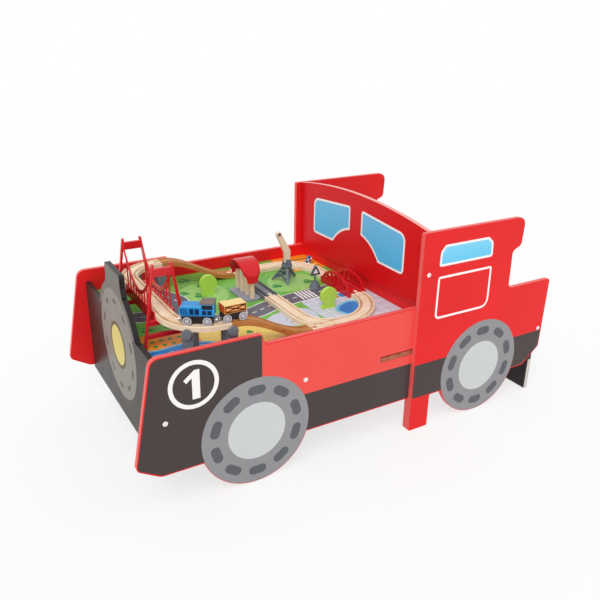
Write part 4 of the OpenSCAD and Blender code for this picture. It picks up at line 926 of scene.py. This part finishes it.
def fields(prints):
    """Meadows, sand, paving, tilled soil and the lake at the near corner."""
    prints.film(ink_meadow, blob([(190, 60), (250, 30), (310, 70), (320, 150), (260, 190), (200, 150)]))
    prints.film(ink_meadow, blob([(430, 50), (510, 20), (570, 60), (560, 130), (470, 140)]))
    sand_edge = spline([(SAND_LEFT, -92), (205, -90), (265, -106), (312, -140), (370, -184),
                        (PAVING_LEFT, -204)])
    prints.film(ink_sand, sand_edge + [Vector((PAVING_LEFT, NEAR)), Vector((SAND_LEFT, NEAR))])
    plaza = blob([(322, -118), (354, -92), (402, -84), (448, -96), (450, -150), (428, -182), (372, -172),
                  (334, -150)])
    prints.film(ink_paving, plaza, PATTERN)
    prints.film(ink_paving, outline(
        (PAVING_LEFT, NEAR, 0), (RIGHT, NEAR, 0), (RIGHT, PAVING_FAR, 0),
        (PAVING_LEFT, PAVING_FAR, PAVING_CORNER)))
    prints.film(ink_soil, outline(
        (LEFT, TILLED_NEAR, 0), (SAND_LEFT, TILLED_NEAR, 0),
        (SAND_LEFT, TILLED_FAR, TILLED_CORNER), (LEFT, TILLED_FAR, 0)))
    shore = spline([(LEFT, -136), (50, -142), (100, -136), (150, -148), (184, -178), (206, -220),
                    (210, NEAR)])
    prints.film(ink_water, shore + [Vector((LEFT, NEAR))], PATTERN)
    prints.film(ink_shallow, ribbon(shore, SHORE_W), DETAIL)
    prints.film(ink_soil, outline(
        (FAR_SOIL_LEFT, FAR_SOIL_NEAR, FAR_SOIL_CORNER), (RIGHT, FAR_SOIL_NEAR, 0),
        (RIGHT, FAR, 0), (FAR_SOIL_LEFT, FAR, 0)))


def crops_and_waves(prints):
    """Rows of crops on the near soil and short waves on the lake."""
    for v in CROP_YS:
        for u in CROP_XS:
            prints.film(ink_leaf, circle((u, v), CROP_R, 12), PATTERN)
    for wave_x in WAVE_XS:
        for row, v in enumerate(WAVE_YS):
            u = wave_x + WAVE_SHIFT * (row % 2)
            wave = spline([(u, v), (u + WAVE_LEN / 2, v + WAVE_RISE), (u + WAVE_LEN, v)])
            prints.film(ink_shallow, ribbon(wave, WAVE_W), DETAIL)


def paving_and_furrows(prints):
    """Joints, parking bays and a pool on the paving, and furrows on the far soil."""
    for u in JOINT_XS:
        joint = box_outline(u, NEAR + JOINT_END, u + JOINT_W, PAVING_FAR - JOINT_INSET)
        prints.film(ink_white, joint, PATTERN)
    for v in JOINT_YS:
        joint = box_outline(PAVING_LEFT + JOINT_INSET, v, RIGHT - JOINT_END, v + JOINT_W)
        prints.film(ink_white, joint, PATTERN + CROSS_LIFT)
    for i, u in enumerate(BAY_XS):
        bay = box_outline(u, BAY_NEAR, u + BAY_W, BAY_NEAR + BAY_LEN, BAY_CORNER)
        prints.film((ink_water, ink_brick)[i % 2], bay, DETAIL)
    for i, v in enumerate(FURROW_YS):
        furrow = [Vector((FURROW_LEFT, v)), Vector((RIGHT - FURROW_END, v))]
        prints.film((ink_leaf, ink_sand)[i % 2], ribbon(furrow, FURROW_W), PATTERN)
    pool = blob([(520, -180), (570, -190), (600, -150), (580, -105), (535, -110), (505, -140)])
    prints.film(ink_shallow, pool, DETAIL)
    prints.film(ink_water, grown(pool, -POOL_RIM), POOL)


def roads(prints):
    """Two roads that meet, with kerbs, dashed middle lines and a zebra crossing."""
    for lift, road in ((0, MAIN_ROAD), (CROSS_LIFT, FAR_ROAD)):
        prints.film(ink_white, ribbon(road, KERB_W), KERB + lift)
        prints.film(ink_road, ribbon(road, ROAD_W), ROAD + lift)
    for road in (MAIN_ROAD, FAR_ROAD[:-JUNCTION_POINTS]):
        for band in dashes(road, LINE_DASH, LINE_W):
            prints.film(ink_white, band, MARK)
    for u in ZEBRA_XS:
        prints.film(ink_white, box_outline(u, ZEBRA_NEAR, u + ZEBRA_W, ZEBRA_NEAR + ZEBRA_LEN), MARK)


def bush(prints, u, v, size):
    """Three round leaf clumps with a paler top."""
    for i, angle in enumerate((90, 210, 330)):
        clump = round_point((u, v), CLUMP_REACH * size, angle)
        prints.film(ink_leaf, circle(clump, CLUMP_R * size, 18), PATTERN + CLUMP_LIFT * i)
    sprout = (u + SPROUT_AT[0] * size, v + SPROUT_AT[1] * size)
    prints.film(ink_sprout, circle(sprout, SPROUT_R * size, 14), DETAIL)


def flower_bed(prints, u, v, count, finish):
    """Small round flowers that spread from a middle."""
    for i in range(count):
        flower = round_point((u, v), FLOWER_SPREAD * math.sqrt(i), GOLDEN_ANGLE * i)
        prints.film(finish, circle(flower, FLOWER_R, 10), PATTERN)


def board_print():
    """A made-up landscape in one piece."""
    prints = Prints("board_print", Vector((FRONT, 0, BOARD_TOP)), X, Y, Z, "play_print")
    fields(prints)
    crops_and_waves(prints)
    paving_and_furrows(prints)
    roads(prints)
    for place in BUSHES:
        bush(prints, *place)
    for bed in FLOWER_BEDS:
        flower_bed(prints, *bed)
    prints.done()


board_print()


# Railway details

PEG_REACH = 16
RAIL_PLACES = (8.5, 17.5)
RAIL_W = 1.3
RAIL_INSET = 1


def crossing_rails():
    """Dark rail lines beside the level crossing's black grooves."""
    low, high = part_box("level_crossing")
    middle = (low.x + high.x) / 2
    length = (high.y - low.y) / MM - PEG_REACH
    prints = Prints("crossing_rails", Vector((middle, low.y, high.z)), X, Y, Z, "black_plastic")
    for side in (-1, 1):
        for aside in RAIL_PLACES:
            u = side * aside
            line = [Vector((u, RAIL_INSET)), Vector((u, length - RAIL_INSET))]
            prints.film(ink_rail, ribbon(line, RAIL_W))
    prints.done()


FLAG_W, FLAG_LEN, FLAG_T = 14, 24, 5
FLAG_LEAN = math.radians(30)
CHECK_W, CHECK_H, CHECK_COLUMNS, CHECK_ROWS = 6, 7, 2, 3


def flag_checks():
    """White faces with blue checks on both sides of the leaning flag."""
    low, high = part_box("flag_sign")
    middle = (low + high) / 2
    up = Vector((math.sin(FLAG_LEAN), 0, math.cos(FLAG_LEAN)))
    across = Vector((math.cos(FLAG_LEAN), 0, -math.sin(FLAG_LEAN)))
    half_w, half_h = CHECK_W * CHECK_COLUMNS / 2, CHECK_H * CHECK_ROWS / 2
    rise = FLAG_LEN / 2 * math.cos(FLAG_LEAN) + FLAG_W / 2 * math.sin(FLAG_LEAN)
    for side, place in TABLE_SIDES:
        origin = Vector((middle.x, middle.y + side * FLAG_T / 2 * MM, high.z - rise * MM))
        prints = Prints("flag_checks_" + place, origin, across, up, side * Y, "blue_wood")
        prints.film(ink_white, box_outline(-half_w, -half_h, half_w, half_h))
        for i in range(CHECK_COLUMNS):
            for j in range(CHECK_ROWS):
                if (i + j) % 2 == 0:
                    u, v = CHECK_W * i - half_w, CHECK_H * j - half_h
                    prints.film(ink_navy, box_outline(u, v, u + CHECK_W, v + CHECK_H), layer=2)
        prints.done()


SIGN_SIDE, SIGN_RISE, SIGN_T = 33, 29, 5
SIGN_FOOT = 36
SIGN_RIM, SIGN_BAND = 2.2, 5


def sign_prints():
    """A dark triangle with a pale middle on both faces of the triangle sign."""
    low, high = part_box("triangle_sign")
    middle = (low + high) / 2
    plate = [Vector((-SIGN_SIDE / 2, 0)), Vector((SIGN_SIDE / 2, 0)), Vector((0, SIGN_RISE))]
    for side, place in TABLE_SIDES:
        origin = Vector((middle.x, middle.y + side * SIGN_T / 2 * MM, BOARD_TOP + SIGN_FOOT * MM))
        prints = Prints("sign_print_" + place, origin, X, Z, side * Y, "grey_plastic")
        prints.film(ink_rail, grown(plate, -SIGN_RIM))
        prints.film(ink_white, grown(plate, -SIGN_BAND), layer=2)
        prints.done()


crossing_rails()
flag_checks()
sign_prints()


# Train


# Engine's side prints, in millimetres forward of its middle and up from its axles
ENGINE_WINDOW = (-33, 28.2, -11, 37.8, 1.5)
ENGINE_SILL = (-34, 13.8, 34, 15)
PANEL_FOOT, LOW_PANEL_TOP, HIGH_PANEL_TOP = 16.5, 26, 29.5
PANEL_W, PANEL_CORNER, PANEL_LINE = 9, 0.9, 1.2
LOW_PANELS, HIGH_PANELS = (-31, -20), (-5, 6)
LOUVRE_FEET, LOUVRE_H, LOUVRE_INSET = evenly(19.2, 3, 3), 1.6, 2
HATCH_BARS, HATCH_W, HATCH_LEAN = evenly(17.5, 3.8, 4), 2.2, 3.5


def engine_prints():
    """Cab window, door lines, louvres and a slanted hatch on both sides of the engine."""
    middle, forward, left = vehicle("engine")
    for side, hand in TRAIN_SIDES:
        origin = middle + side * left * (TRAIN_HALF_W * MM)
        prints = Prints("engine_print_" + hand, origin, forward, Z, side * left, "blue_wood", "engine")
        prints.film(ink_pane, box_outline(*ENGINE_WINDOW))
        prints.film(ink_navy, box_outline(*ENGINE_SILL))
        for places, top in ((LOW_PANELS, LOW_PANEL_TOP), (HIGH_PANELS, HIGH_PANEL_TOP)):
            for u in places:
                panel = box_outline(u, PANEL_FOOT, u + PANEL_W, top, PANEL_CORNER)
                prints.film(ink_navy, border(panel, PANEL_LINE))
        for u in HIGH_PANELS:
            for foot in LOUVRE_FEET:
                louvre = box_outline(u + LOUVRE_INSET, foot, u + PANEL_W - LOUVRE_INSET, foot + LOUVRE_H)
                prints.film(ink_navy, louvre)
        for u in HATCH_BARS:
            prints.film(ink_navy, outline(
                (u, PANEL_FOOT, 0), (u + HATCH_W, PANEL_FOOT, 0),
                (u + HATCH_W + HATCH_LEAN, HIGH_PANEL_TOP, 0), (u + HATCH_LEAN, HIGH_PANEL_TOP, 0)))
        prints.done()


CRATE_FRAME = 3.5
CRATE_LINE = 2


def crate_prints():
    """Dark lines round the sunk fields and along the crossed braces of the wagon's crate."""
    middle, forward, left = vehicle("wagon")
    low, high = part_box("wagon_crate")
    slot = SLOT_OF["wagon_crate"]
    reach = max((v.co - middle).dot(forward) for v in frame["nodes"]["wagon_crate"].data.vertices)
    end = reach / MM - CRATE_FRAME
    foot, head = CRATE_FRAME, (high.z - low.z) / MM - CRATE_FRAME
    field = box_outline(-end, foot, end, head)
    for side, hand in TRAIN_SIDES:
        origin = middle + side * left * (TRAIN_HALF_W * MM)
        origin.z = low.z
        prints = Prints("crate_print_" + hand, origin, forward, Z, side * left, slot, "wagon")
        prints.film(ink_crate, [grown(field, CRATE_LINE), field])
        for layer, rear_h, front_h in ((1.5, foot, head), (2, head, foot)):
            brace = [Vector((-end, rear_h)), Vector((end, front_h))]
            prints.film(ink_crate, ribbon(brace, CRATE_LINE), layer)
        prints.done()


engine_prints()
crate_prints()


# Train wheels: outer face from the middle line, dark ring and spokes
WHEEL_FACE = 13.5
WELL_R, WELL_INNER_R = 6.8, 4.6
SPOKES = 8
SPOKE_START, SPOKE_END, SPOKE_W = 4.4, 7, 1.1
WELL_LAYER, SPOKE_LAYER = 0.5, 5


def wheel_spokes(vehicle_name, end):
    """Dark wheel faces with pale spokes on both ends of an axle."""
    _, forward, left = vehicle(vehicle_name)
    axle = f"{vehicle_name}_{end}"
    middle = Vector(JOINTS[axle + "_spin"]["pos_m"])
    well = [circle((0, 0), WELL_R, 40), circle((0, 0), WELL_INNER_R, 32)]
    for side, hand in TRAIN_SIDES:
        origin = middle + side * left * (WHEEL_FACE * MM)
        name = f"{axle}_spokes_{hand}"
        prints = Prints(name, origin, forward, Z, side * left, "wheel_plastic", axle + "_axle")
        prints.film(wheel_dark, well, WELL_LAYER)
        for i in range(SPOKES):
            run = round_point((0, 0), 1, 360 / SPOKES * i)
            prints.film(wheel_plastic, ribbon([run * SPOKE_START, run * SPOKE_END], SPOKE_W), SPOKE_LAYER)
        prints.done()


for train_vehicle in ("engine", "wagon"):
    for axle_end in ("front", "rear"):
        wheel_spokes(train_vehicle, axle_end)


# Studio


# Light levels, the floor's reach and drop in metres, and the sun's place and spread in degrees
SKY_LEVEL = 0.68
FLOOR_GLOW = 0.72
FLOOR_REACH = 8
FLOOR_DROP = 0.0005
SUN_AT = (-1.3, -1.5, 2.4)
SUN_LEVEL = 1.35
SUN_SPREAD = 40


def seen_by_eye(tree):
    """One for camera, mirror and glass rays, which see the studio as plain white."""
    paths = tree.nodes.new("ShaderNodeLightPath")
    seen = paths.outputs["Is Camera Ray"]
    for ray in ("Is Glossy Ray", "Is Transmission Ray"):
        either = tree.nodes.new("ShaderNodeMath")
        either.operation = "MAXIMUM"
        tree.links.new(seen, either.inputs[0])
        tree.links.new(paths.outputs[ray], either.inputs[1])
        seen = either.outputs[0]
    return seen


def studio_floor():
    """A pale floor that shows white behind the object and keeps its shadow."""
    mesh = bpy.data.meshes.new("floor")
    r = FLOOR_REACH
    mesh.from_pydata([(-r, -r, 0), (r, -r, 0), (r, r, 0), (-r, r, 0)], [], [(0, 1, 2, 3)])
    floor = add_object("floor", mesh)
    floor.location.z = -FLOOR_DROP
    s = Shader("floor_white", 0.9)
    s.colour(srgb(250, 250, 250))
    glow = s.add("Emission")
    lit = s.add("MixShader")
    share = s.add("MapRange", Value=seen_by_eye(s.tree), To_Max=FLOOR_GLOW)
    parts = (share.outputs["Result"], s.bsdf.outputs["BSDF"], glow.outputs["Emission"])
    for index, value in enumerate(parts):
        s.put(lit.inputs[index], value)
    s.put(s.tree.nodes["Material Output"].inputs["Surface"], lit.outputs["Shader"])
    mesh.materials.append(s.material)


def studio_world():
    """Even white light, seen as plain white by the camera and by reflections."""
    world = bpy.data.worlds.new("studio")
    bpy.context.scene.world = world
    world.use_nodes = True
    tree = world.node_tree
    back = tree.nodes["Background"]
    back.inputs["Color"].default_value = (1, 1, 1, 1)
    level = tree.nodes.new("ShaderNodeMapRange")
    level.inputs["To Min"].default_value = SKY_LEVEL
    tree.links.new(seen_by_eye(tree), level.inputs["Value"])
    tree.links.new(level.outputs["Result"], back.inputs["Strength"])


def key_sun():
    """A broad lamp that shines from its place towards the table."""
    data = bpy.data.lights.new("key_sun", "SUN")
    data.energy = SUN_LEVEL
    data.angle = math.radians(SUN_SPREAD)
    lamp = add_object("key_sun", data)
    lamp.rotation_euler = (-Vector(SUN_AT)).to_track_quat("-Z", "Y").to_euler()


# The photograph's camera: focal length and middle in pixels of its 600 by 600 frame, and its angles
FRAME_PX = 600
FOCAL_PX = 670.4
MIDDLE_PX = (310, 295)
YAW, PITCH, ROLL = (math.radians(a) for a in (31.63, 21.99, -1.28))
CAMERA_AT = Vector((-0.8688, -1.4088, 0.9614))


def photo_camera():
    """The camera at the photograph's place and angles."""
    forward = Vector((math.sin(YAW) * math.cos(PITCH), math.cos(YAW) * math.cos(PITCH), -math.sin(PITCH)))
    level = Vector((math.cos(YAW), -math.sin(YAW), 0))
    down = forward.cross(level)
    right = level * math.cos(ROLL) + down * math.sin(ROLL)
    down = down * math.cos(ROLL) - level * math.sin(ROLL)
    data = bpy.data.cameras.new("camera")
    data.sensor_width = 36
    data.lens = FOCAL_PX / FRAME_PX * data.sensor_width
    data.shift_x = (FRAME_PX / 2 - MIDDLE_PX[0]) / FRAME_PX
    data.shift_y = (MIDDLE_PX[1] - FRAME_PX / 2) / FRAME_PX
    camera = add_object("camera", data)
    turn = Matrix((right, -down, -forward)).transposed()
    camera.matrix_world = Matrix.Translation(CAMERA_AT) @ turn.to_4x4()
    bpy.context.scene.camera = camera


studio_floor()
studio_world()
key_sun()
photo_camera()
bpy.context.scene.view_settings.view_transform = "Standard"
